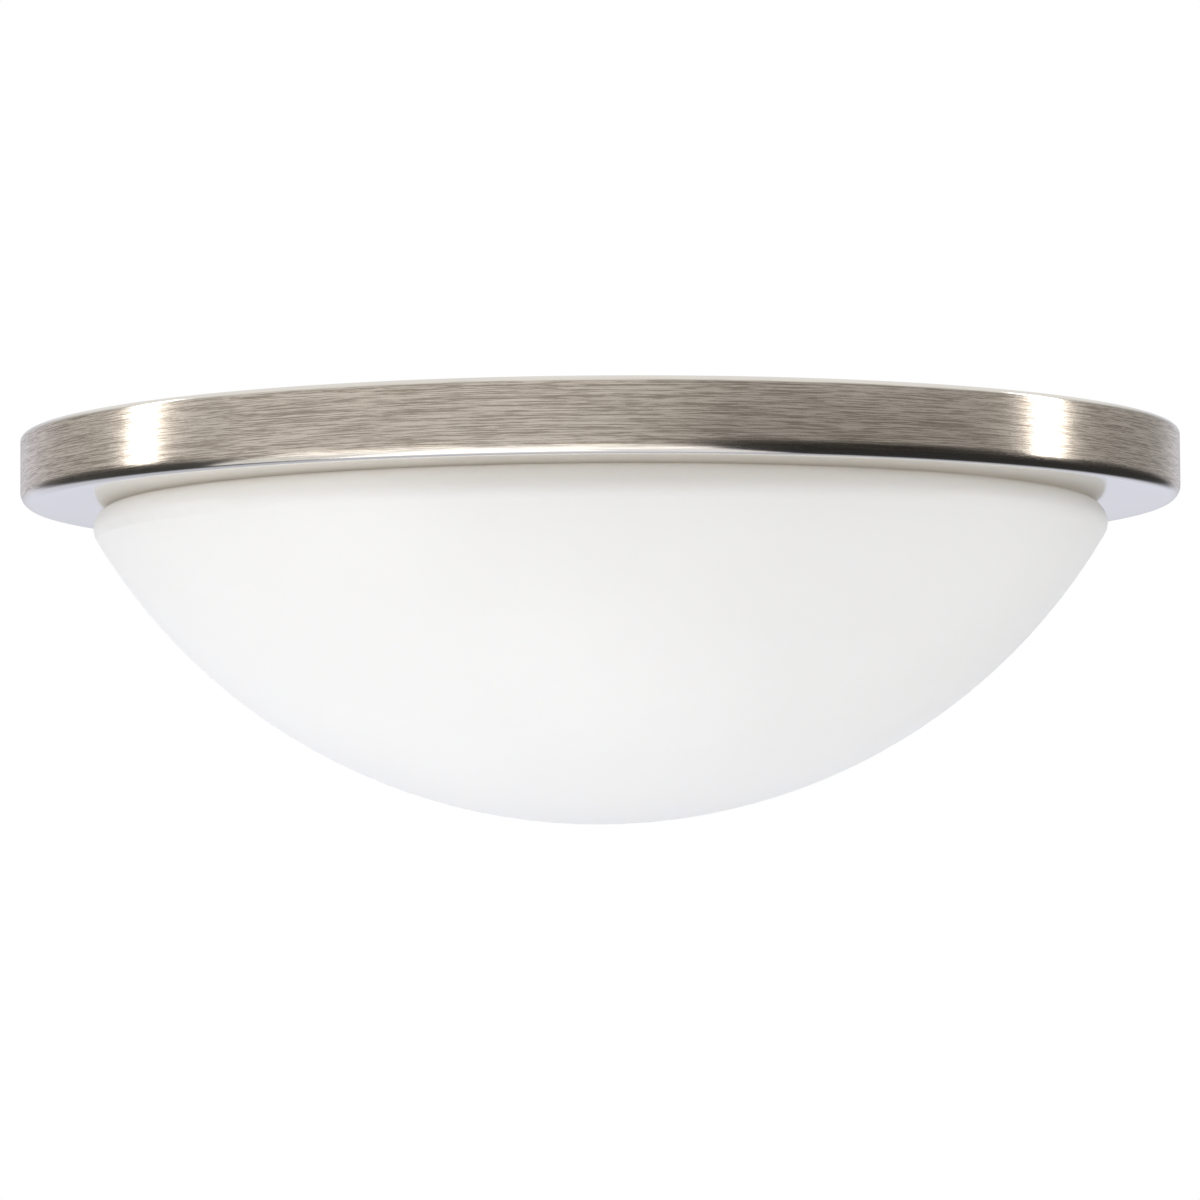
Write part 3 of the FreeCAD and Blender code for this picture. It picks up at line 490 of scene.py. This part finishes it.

# --------------------------------------------------------- cap nuts and ground screw
# The cap nuts are turned brass, nickel plated and tumbled bright. The ground screw is
# dyed green over its zinc, the dye paler in places.
NUT_LIGHT = (0.78, 0.745, 0.70, 1)
NUT_DARK = (0.66, 0.63, 0.585, 1)
DYE = (0.02, 0.17, 0.06, 1)
DYE_THIN = (0.10, 0.33, 0.15, 1)
TUMBLE_CLOUD = 3 * MM
TUMBLE_DULL = 1.3
TUMBLE_BRIGHT = 0.7


def tumbled_metal(name, dark, light, rough):
    """Plated metal with a little cloudiness from tumbling."""
    material, tree, shader = finish_of(name, {"Metallic": 1.0})
    cloud = grain(tree, place_on_piece(tree), TUMBLE_CLOUD, detail=4.0, rough=0.6)
    colour(tree, shader, blend_of(tree, between(tree, cloud, *NOISE_MIDDLE), dark, light))
    ends = (rough * TUMBLE_DULL, rough * TUMBLE_BRIGHT)
    roughness(tree, shader, between(tree, cloud, *NOISE_SPREAD, *ends))
    return material


dress(tumbled_metal("nut_nickel_plate", NUT_DARK, NUT_LIGHT, rough=0.16), "mounting_nuts")
dress(tumbled_metal("green_dyed_zinc", DYE, DYE_THIN, rough=0.34), "ground_screw")

# ----------------------------------------------------------------- bushing and leads
# A snap-in nylon bushing lines the hole where the leads leave. The leads are stranded
# wire in extruded insulation, black and white, each from its lampholder to the bushing.
NYLON = (0.035, 0.035, 0.036, 1)
NYLON_PALE = (0.06, 0.06, 0.062, 1)
BLACK_LEAD = (0.018, 0.018, 0.020, 1)
BLACK_LEAD_RUBBED = (0.040, 0.040, 0.043, 1)
WHITE_LEAD = (0.80, 0.79, 0.75, 1)
WHITE_LEAD_SHADE = (0.70, 0.69, 0.64, 1)
PLASTIC_CLOUD = 14 * MM
SKIN_SIZE = 0.5 * MM
SKIN_DEPTH = 0.02 * MM
SKIN_DULL = 1.15
SKIN_BRIGHT = 0.85


def moulded_plastic(name, dark, light, rough):
    """Plastic with a fine moulded texture and a slightly uneven tone."""
    material, tree, shader = finish_of(name)
    place = place_on_piece(tree)
    cloud = between(tree, grain(tree, place, PLASTIC_CLOUD, detail=3.0), *NOISE_MIDDLE)
    colour(tree, shader, blend_of(tree, cloud, dark, light))
    skin = grain(tree, place, SKIN_SIZE, detail=2.0)
    ends = (rough * SKIN_DULL, rough * SKIN_BRIGHT)
    roughness(tree, shader, between(tree, skin, *NOISE_SPREAD, *ends))
    relief(tree, shader, skin, SKIN_DEPTH, strength=0.5)
    return material


dress(moulded_plastic("bushing_nylon", NYLON, NYLON_PALE, rough=0.5), "wire_bushing")
dress(moulded_plastic("lead_black", BLACK_LEAD, BLACK_LEAD_RUBBED, rough=0.35), "leads_black")
dress(moulded_plastic("lead_white", WHITE_LEAD_SHADE, WHITE_LEAD, rough=0.38), "leads_white")

# ------------------------------------------------------------------------ lampholders
# Each is a glazed porcelain cup, slip cast and fired, with a drawn aluminium screw
# shell pressed in and a sprung brass tongue in its floor, screwed to a zinc bracket.
GLAZE = (0.90, 0.89, 0.85, 1)
GLAZE_SHADE = (0.83, 0.81, 0.76, 1)
GLAZE_SPECK = (0.42, 0.36, 0.28, 1)
GLAZE_CLOUD = 11 * MM
SPECK_SPACING = 3.1 * MM
SPECK_EDGE = (0.05, 0.08)
GLAZE_WAVE = 5 * MM
GLAZE_DEPTH = 0.06 * MM
BRASS_LIGHT = (0.86, 0.66, 0.33, 1)
BRASS_DARK = (0.66, 0.47, 0.20, 1)
SHEET_LIGHT = (0.88, 0.88, 0.88, 1)
SHEET_DARK = (0.74, 0.745, 0.75, 1)
THREAD_PITCH = 3.629 * MM
THREAD_RUN_IN = 1.8 * MM
THREAD_STEP = 0.3 * MM
THREAD_STEPS = 72
THREAD_SHARP_FROM = math.radians(50)
WALL_CATCH = 0.02 * MM
LAMP_SIDES = {1: 1, 2: -1}
LAMP_START_X = 52.0 * MM
LAMP_Z = -46.0 * MM
SHELL_R = 13.65 * MM
SHELL_WALL = 0.4 * MM
SHELL_THREAD = 0.8 * SHELL_WALL
SHELL_BACK = -3.0 * MM
SHELL_MOUTH = 20.5 * MM
SHELL_FLOOR_R = 8.5 * MM


def porcelain():
    """White glaze with faint iron specks over a cast body."""
    material, tree, shader = finish_of("porcelain_glaze", {
        "Roughness": 0.22, "Coat Weight": 0.6, "Coat Roughness": 0.06})
    place = place_on_piece(tree)
    cloud = between(tree, grain(tree, place, GLAZE_CLOUD, detail=3.0), *NOISE_SPREAD)
    clay = blend_of(tree, cloud, GLAZE_SHADE, GLAZE)
    specks = add(tree, "TexVoronoi", {"Vector": place, "Scale": 1 / SPECK_SPACING})
    off_speck = between(tree, specks.outputs["Distance"], *SPECK_EDGE)
    colour(tree, shader, blend_of(tree, off_speck, GLAZE_SPECK, clay))
    relief(tree, shader, grain(tree, place, GLAZE_WAVE, detail=1.0), GLAZE_DEPTH, strength=0.5)
    return material


def rolled_thread(shape, wall_r, depth, outward, first, last):
    """Presses one right-handed thread into the verts of a wall turned round Z.

    The wall's radius changes by up to the depth, outward or inward, between two heights.
    """
    for vert in shape.verts:
        radius = math.hypot(vert.co.x, vert.co.y)
        if abs(radius - wall_r) > WALL_CATCH:
            continue
        turn = math.atan2(vert.co.y, vert.co.x) / math.tau
        wave = (1 - math.cos(math.tau * (vert.co.z / THREAD_PITCH - turn))) / 2
        run_in = (vert.co.z - first) / THREAD_RUN_IN
        run_out = (last - vert.co.z) / THREAD_RUN_IN
        fade = max(0.0, min(1.0, run_in, run_out))
        scale = 1 + outward * depth * wave * fade / radius
        vert.co.x *= scale
        vert.co.y *= scale


def laid_along_lamp(shape, number):
    """Turns a shape made along +Z from a lamp's contact into that lamp's place."""
    side = LAMP_SIDES[number]
    way = Vector((side, 0, 0)).to_track_quat("Z", "Y").to_matrix().to_4x4()
    start = Matrix.Translation((-side * LAMP_START_X, side * LAMP_Y, LAMP_Z))
    bmesh.ops.transform(shape, matrix=start @ way, verts=shape.verts)


def fine_run(first, last, step):
    """Evenly spaced values from the first to the last."""
    count = max(1, round(abs(last - first) / step))
    return [first + (last - first) * n / count for n in range(count + 1)]


def screw_shell(number):
    """A lampholder's shell, its bottom turned in, with the thread on its bore."""
    def make(shape):
        wall, back = SHELL_WALL, SHELL_BACK
        bore_r, out_r = SHELL_R - wall, SHELL_R
        floor = back + wall
        points = [(bore_r, z) for z in fine_run(floor + wall, SHELL_MOUTH, THREAD_STEP)]
        points += [
            (out_r, SHELL_MOUTH), (out_r, back + 2 * wall), (out_r - wall, back + 0.2 * wall),
            (out_r - 2 * wall, back), (SHELL_FLOOR_R, back), (SHELL_FLOOR_R, floor),
            (bore_r - wall, floor)]
        spun(shape, outline_of(shape, points), THREAD_STEPS)
        rolled_thread(shape, bore_r, SHELL_THREAD, 1, floor + wall, SHELL_MOUTH)
        laid_along_lamp(shape, number)
    return make


glaze = porcelain()
brass = tumbled_metal("spring_brass", BRASS_DARK, BRASS_LIGHT, rough=0.26)
drawn_sheet = tumbled_metal("drawn_aluminium", SHEET_DARK, SHEET_LIGHT, rough=0.22)
for number in (1, 2):
    dress(glaze, f"lampholder_{number}_body")
    dress(brass, f"lampholder_{number}_contact")
    shell = new_piece(f"screw_shell_{number}", screw_shell(number), "fixture", drawn_sheet)
    shell.data.set_sharp_from_angle(angle=THREAD_SHARP_FROM)
    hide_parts(f"lampholder_{number}_shell")

# ----------------------------------------------------------------------------- rivets
# Soft aluminium rivets hold the brackets to the floor and the clips to the collar.
rivet_metal = tumbled_metal("rivet_aluminium", SHEET_DARK, SHEET_LIGHT, rough=0.34)
dress(rivet_metal, "bracket_rivets", "clip_rivets")

# ------------------------------------------------------------------------------ lamps
# Screw-base lamps: a rolled cap with its thread, a dark glass insulator and a brass
# end contact, a moulded white housing, a frosted globe and the board inside it.
HOUSING = (0.86, 0.86, 0.855, 1)
HOUSING_SHADE = (0.80, 0.80, 0.79, 1)
GLOBE = (0.92, 0.92, 0.905, 1)
VITRITE = (0.020, 0.016, 0.024, 1)
VITRITE_PALE = (0.045, 0.038, 0.050, 1)
GLOBE_SOAK = 6 * MM
GLOBE_SKIN = 0.4 * MM
GLOBE_CLOUD = 20 * MM
GLOBE_ROUGH = (0.48, 0.36)
CAP_R = 13.0 * MM
CAP_WALL = 0.5 * MM
CAP_THREAD = 0.9 * CAP_WALL
CAP_START = 6.5 * MM
CAP_END = 25.5 * MM
CAP_MOUTH_R = 11.1 * MM


def frosted_globe():
    """A milky plastic diffuser that scatters light in its skin."""
    material, tree, shader = finish_of("frosted_globe", {
        "Subsurface Weight": 0.4, "Subsurface Scale": GLOBE_SOAK})
    place = place_on_piece(tree)
    skin = grain(tree, place, GLOBE_SKIN, detail=2.0)
    roughness(tree, shader, between(tree, skin, *NOISE_SPREAD, *GLOBE_ROUGH))
    cloud = between(tree, grain(tree, place, GLOBE_CLOUD, detail=2.0), *NOISE_SPREAD)
    colour(tree, shader, blend_of(tree, cloud, HOUSING, GLOBE))
    return material


def screw_cap(number):
    """A lamp's cap: thin sheet with the thread rolled in and its end turned in."""
    def make(shape):
        wall, start = CAP_WALL, CAP_START
        crest_r, bore_r = CAP_R, CAP_R - wall
        points = [(crest_r, z) for z in fine_run(start + 2 * wall, CAP_END, THREAD_STEP)]
        points += [
            (bore_r, CAP_END), (bore_r, start + 2 * wall), (bore_r - wall, start + wall),
            (CAP_MOUTH_R, start + wall), (CAP_MOUTH_R, start), (crest_r - 2 * wall, start),
            (crest_r - 0.3 * wall, start + 0.6 * wall)]
        spun(shape, outline_of(shape, points), THREAD_STEPS)
        rolled_thread(shape, crest_r, CAP_THREAD, -1, start + 2 * wall, CAP_END)
        laid_along_lamp(shape, number)
    return make


housing = moulded_plastic("lamp_housing", HOUSING_SHADE, HOUSING, rough=0.42)
globe = frosted_globe()
insulator = moulded_plastic("cap_insulator", VITRITE, VITRITE_PALE, rough=0.12)
for number in (1, 2):
    dress(housing, f"lamp_{number}_body")
    dress(globe, f"lamp_{number}_globe")
    dress(insulator, f"lamp_{number}_insulator")
    dress(brass, f"lamp_{number}_contact")
    dress(drawn_sheet, f"lamp_{number}_board")
    cap = new_piece(f"screw_cap_{number}", screw_cap(number), f"lamp_{number}", drawn_sheet)
    cap.data.set_sharp_from_angle(angle=THREAD_SHARP_FROM)
    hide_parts(f"lamp_{number}_cap")

# -------------------------------------------------------- glass clips and their sleeves
# Three strips of tempered spring steel behind the collar, hooked through its slots,
# with a clear vinyl sleeve on each hook so that metal never bears on the glass.
STEEL_LIGHT = (0.60, 0.61, 0.63, 1)
STEEL_DARK = (0.42, 0.43, 0.46, 1)
VINYL = (0.80, 0.80, 0.77, 1)
VINYL_SHADE = (0.68, 0.68, 0.64, 1)
dress(tumbled_metal("spring_strip", STEEL_DARK, STEEL_LIGHT, rough=0.30), "glass_clips")
dress(moulded_plastic("clip_vinyl", VINYL_SHADE, VINYL, rough=0.30), "clip_sleeves")

# ------------------------------------------------------------------------ neck gasket
# A ring of white closed-cell foam on the end of the glass's neck, cut from sheet.
FOAM = (0.88, 0.88, 0.86, 1)
# the darker foam tone is painted shade in the cut cells' dents
FOAM_DENT_SHADE = (0.70, 0.70, 0.67, 1)
CELL_SIZE = 0.7 * MM
CELL_DEPTH = 0.12 * MM
DENT_SHADE_SPREAD = (0.1, 0.55)
GASKET_BORE_R = 139.3 * MM
GASKET_EDGE_R = 0.5 * MM
GASKET_DENT = 0.12 * MM
GASKET_DENTS_A_METRE = 220
GASKET_STEPS = 360
GASKET_RUNS = 6


def cell_foam():
    """White foam whose cut cells show as small dents, with painted shade darkening each dent."""
    material, tree, shader = finish_of("cell_foam", {"Roughness": 0.85, "Sheen Weight": 0.1})
    place = place_on_piece(tree)
    cells = add(tree, "TexVoronoi", {"Vector": place, "Scale": 1 / CELL_SIZE}).outputs["Distance"]
    # painted shade: the colour darkens where each cell's dent is deepest
    colour(tree, shader, blend_of(tree, between(tree, cells, *DENT_SHADE_SPREAD), FOAM_DENT_SHADE, FOAM))
    relief(tree, shader, cells, CELL_DEPTH, strength=0.7)
    return material


def foam_ring(shape):
    """The ring: its cut edges are a little soft and its faces slightly uneven."""
    low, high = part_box("neck_gasket")
    points = softened_ring(
        (GASKET_BORE_R, low.z), (high.x, high.z), GASKET_EDGE_R, GASKET_RUNS)
    spun(shape, outline_of(shape, points), GASKET_STEPS)
    middle = Vector(((GASKET_BORE_R + high.x) / 2, 0, (low.z + high.z) / 2))
    for vert in shape.verts:
        radius = math.hypot(vert.co.x, vert.co.y)
        dent = GASKET_DENT * (0.5 + 0.5 * noise.noise(vert.co * GASKET_DENTS_A_METRE))
        vert.co.z -= math.copysign(dent, vert.co.z - middle.z)
        pull = 1 - math.copysign(dent, radius - middle.x) / radius
        vert.co.x *= pull
        vert.co.y *= pull


foam = new_piece("foam_ring", foam_ring, "gasket", cell_foam())
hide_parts("neck_gasket")

# ------------------------------------------------------------------------ glass bowl
# Opal glass blown into a mould and acid etched outside, so it is white all through
# with a silky skin that takes only a soft sheen from the lights.
OPAL = (0.93, 0.927, 0.921, 1)
OPAL_SHADE = (0.90, 0.897, 0.891, 1)
OPAL_SOAK = 3 * MM
OPAL_CLOUD = 90 * MM
FROST_SIZE = 0.35 * MM
FROST_DEPTH = 0.004 * MM
OPAL_ROUGH = (0.50, 0.40)


def etched_opal():
    """Milky glass: light soaks in a few millimetres and the skin is finely frosted."""
    material, tree, shader = finish_of("etched_opal", {
        "IOR": 1.5, "Subsurface Weight": 0.3, "Subsurface Scale": OPAL_SOAK,
        "Subsurface Radius": (1.0, 0.9, 0.8)})
    place = place_on_piece(tree)
    cloud = between(tree, grain(tree, place, OPAL_CLOUD, detail=3.0, rough=0.45), *NOISE_MIDDLE)
    colour(tree, shader, blend_of(tree, cloud, OPAL_SHADE, OPAL))
    frost = grain(tree, place, FROST_SIZE, detail=2.0)
    roughness(tree, shader, between(tree, frost, *NOISE_SPREAD, *OPAL_ROUGH))
    relief(tree, shader, frost, FROST_DEPTH, strength=0.4)
    return material


dress(etched_opal(), "glass_shade")

# ------------------------------------------------------------------ camera and studio
# The camera stands 1.44 m off, about 5 degrees below the pan's underside. A white
# sweep surrounds the light, with a tall strip lamp on each side and, below in front, a
# lamp sheet whose reflection is the bright line along the pan's bottom radius. Broad
# lamps from both sides and from below light the glass, and no reflection shows them.
# So does a shadowless one above, for light that comes through the glass's shoulder.
EYE_DISTANCE = 8.1138 * PAN_R
EYE_BELOW = 0.0856
AIM = Vector((-0.002 * PAN_R, 0, UNDERSIDE_Z - 0.1581 * PAN_R))
ROLL = -0.0070
FOCAL_PIXELS = 4671.2
PHOTO_WIDTH = 1200
SENSOR = 36.0
FLOOR_Z = -2.3
FLOOR_LEFT = -1.0
FLOOR_RIGHT = 0.62
FLOOR_DEPTH = 2.0
FLOOR_CLOUD = 0.4
FLOOR_PALE = (0.88, 0.89, 0.93, 1)
FLOOR_SHADE = (0.85, 0.86, 0.90, 1)
WHITE = (1, 1, 1, 1)
BLACK = (0, 0, 0, 1)
CEILING = (0.9, 0.9, 0.9, 1)
BACK = (0.66, 0.66, 0.72)
BACK_LOW = (0.76, 0.788, 0.905)
DARK = (0.04, 0.04, 0.04)
DARK_LEFT = (0.07, 0.07, 0.068)
WALLS = [
    (-180, BACK), (-152, BACK), (-132, (0.50, 0.50, 0.50)), (-84, (0.50, 0.50, 0.50)),
    (-72, (0.60, 0.60, 0.60)), (-10, (0.57, 0.57, 0.57)), (8, (0.50, 0.50, 0.50)),
    (25, (0.35, 0.35, 0.35)), (70, (0.34, 0.34, 0.34)), (138, (0.36, 0.36, 0.36)),
    (158, BACK), (180, BACK)]
TABLE = [
    (-180, BACK_LOW), (-152, BACK_LOW), (-144, DARK_LEFT), (-98, DARK_LEFT),
    (-88, (0.4, 0.4, 0.4)), (-76, (0.7, 0.7, 0.7)), (0, (0.7, 0.7, 0.7)),
    (12, (0.5, 0.5, 0.5)), (26, DARK), (154, DARK), (163, BACK_LOW), (180, BACK_LOW)]
LOW_BAND = (-0.02, -0.16)
HIGH_BAND = (0.20, 0.50)
UNDER_BAND = (-0.2, -0.5)
UNDER_SHADE = 0.25
# name, place, width, watts
STRIPS = [
    ("left_strip", (-1.32, 0.07, 0.2), 0.15, 2.4),
    ("right_strip", (1.32, 0.012, 0.2), 0.165, 2.65)]
STRIP_HEIGHT = 1.0
# name, place, width, height, watts, degrees turned, outline
SHEETS = [
    ("sheet", (-0.499, -0.364, -0.60), 0.60, 1.04, 1.49, -30, "RECTANGLE"),
    ("sheet_corner", (-0.02, -0.50, -0.60), 0.48, 0.62, 0.48, -5, "ELLIPSE")]
GLASS_AIM = (0, 0, -0.06)
# name, place, size, watts
GLASS_LAMPS = [
    ("left_key", (-1.9, -0.3, -0.5), 1.1, 7.4),
    ("right_side", (1.9, -0.3, -0.5), 1.1, 12.4),
    ("low_fill", (0.5, -0.45, -1.8), 1.0, 10.4)]
GLASS_LAMP_TONE = (1.0, 0.997, 0.985)
SHOULDER_AIM = (0, 0, -0.02)
SHOULDER_LAMP = ("over_glass", (0, -1.22, 1.0), 0.8, 6.8)
SHOULDER_LAMP_TONE = (1.0, 0.945, 0.87)

eye_z = UNDERSIDE_Z - EYE_DISTANCE * math.sin(EYE_BELOW)
eye = Vector((0, -EYE_DISTANCE * math.cos(EYE_BELOW), eye_z))
camera_data = bpy.data.cameras.new("camera")
camera_data.sensor_fit = "HORIZONTAL"
camera_data.sensor_width = SENSOR
camera_data.lens = SENSOR * FOCAL_PIXELS / PHOTO_WIDTH
camera = in_scene("camera", camera_data)
camera.location = eye
camera.rotation_mode = "QUATERNION"
camera.rotation_quaternion = (AIM - eye).to_track_quat("-Z", "Y") @ Quaternion((0, 0, 1), ROLL)
bpy.context.scene.camera = camera


def pale_floor():
    """A pale matte floor with a faint cast of its own."""
    material, tree, shader = finish_of("pale_floor", {"Roughness": 0.8})
    cloud = grain(tree, place_on_piece(tree), FLOOR_CLOUD, detail=3.0)
    colour(tree, shader, blend_of(tree, cloud, FLOOR_SHADE, FLOOR_PALE))
    return material


def floor_sheet():
    """One large sheet far below, a little short on the right."""
    shape = bmesh.new()
    place = Matrix.Translation(((FLOOR_LEFT + FLOOR_RIGHT) / 2, 0, FLOOR_Z))
    size = Matrix.Diagonal(((FLOOR_RIGHT - FLOOR_LEFT) / 2, FLOOR_DEPTH / 2, 1, 1))
    bmesh.ops.create_grid(shape, x_segments=1, y_segments=1, size=1, matrix=place @ size)
    mesh = mesh_of("floor", shape)
    mesh.materials.append(pale_floor())
    return in_scene("floor", mesh)


def soft_lamp(name, place, aim, width, height, watts):
    """A flat lamp of a given size at a place, facing its aim."""
    data = bpy.data.lights.new(name, "AREA")
    data.shape = "RECTANGLE"
    data.size = width
    data.size_y = height
    data.energy = watts
    lamp = in_scene(name, data)
    lamp.location = place
    lamp.rotation_mode = "QUATERNION"
    lamp.rotation_quaternion = (Vector(aim) - Vector(place)).to_track_quat("-Z", "Y")
    return lamp


def ramp_of(tree, place, tones):
    """A ring of tones by direction: degrees from the camera, rightwards, and a colour."""
    ramp = add(tree, "ValToRGB", {"Fac": place})
    stops = ramp.color_ramp.elements
    while len(stops) < len(tones):
        stops.new(0.5)
    for stop, (degrees, tone) in zip(stops, tones):
        stop.position = (degrees + 180) / 360
        stop.color = (tone[0], tone[1], tone[2], 1)
    return ramp.outputs["Color"]


def white_sweep():
    """A white surround: full white to the eye, and to the pieces a studio.

    Its walls are lit from the left, with the right front in shade. Lower down there are
    dark table edges at both sides, paler in front and behind, and less light below.
    """
    world = bpy.data.worlds.new("sweep")
    world.use_nodes = True
    tree = world.node_tree
    background = tree.nodes["Background"]
    axes = add(tree, "SeparateXYZ", {"Vector": add(tree, "TexCoord").outputs["Generated"]})
    front = add(tree, "Math", {0: axes.outputs["Y"], 1: -1.0}, operation="MULTIPLY").outputs[0]
    turn = add(tree, "Math", {0: axes.outputs["X"], 1: front}, operation="ARCTAN2").outputs[0]
    place = between(tree, turn, -math.pi, math.pi)
    low = between(tree, axes.outputs["Z"], *LOW_BAND)
    high = between(tree, axes.outputs["Z"], *HIGH_BAND)
    under = between(tree, axes.outputs["Z"], *UNDER_BAND, 0.0, UNDER_SHADE)
    table = blend_of(tree, under, ramp_of(tree, place, TABLE), BLACK)
    around = blend_of(tree, low, ramp_of(tree, place, WALLS), table)
    studio = blend_of(tree, high, around, CEILING)
    seen = add(tree, "LightPath").outputs["Is Camera Ray"]
    tree.links.new(blend_of(tree, seen, studio, WHITE), background.inputs["Color"])
    bpy.context.scene.world = world


floor_sheet()
for name, (x, y, z), width, watts in STRIPS:
    soft_lamp(name, (x, y, z), (0, y, z), width, STRIP_HEIGHT, watts)
for name, (x, y, z), width, height, watts, turn, outline in SHEETS:
    lamp = soft_lamp(name, (x, y, z), (x, y, 0), width, height, watts)
    lamp.rotation_quaternion = Euler((math.pi, 0, math.radians(turn))).to_quaternion()
    lamp.data.shape = outline
for name, place, size, watts in GLASS_LAMPS:
    lamp = soft_lamp(name, place, GLASS_AIM, size, size, watts)
    lamp.data.color = GLASS_LAMP_TONE
    lamp.visible_glossy = False
name, place, size, watts = SHOULDER_LAMP
lamp = soft_lamp(name, place, SHOULDER_AIM, size, size, watts)
lamp.data.color = SHOULDER_LAMP_TONE
lamp.data.use_shadow = False
lamp.visible_glossy = False
white_sweep()
bpy.context.scene.view_settings.view_transform = "Standard"
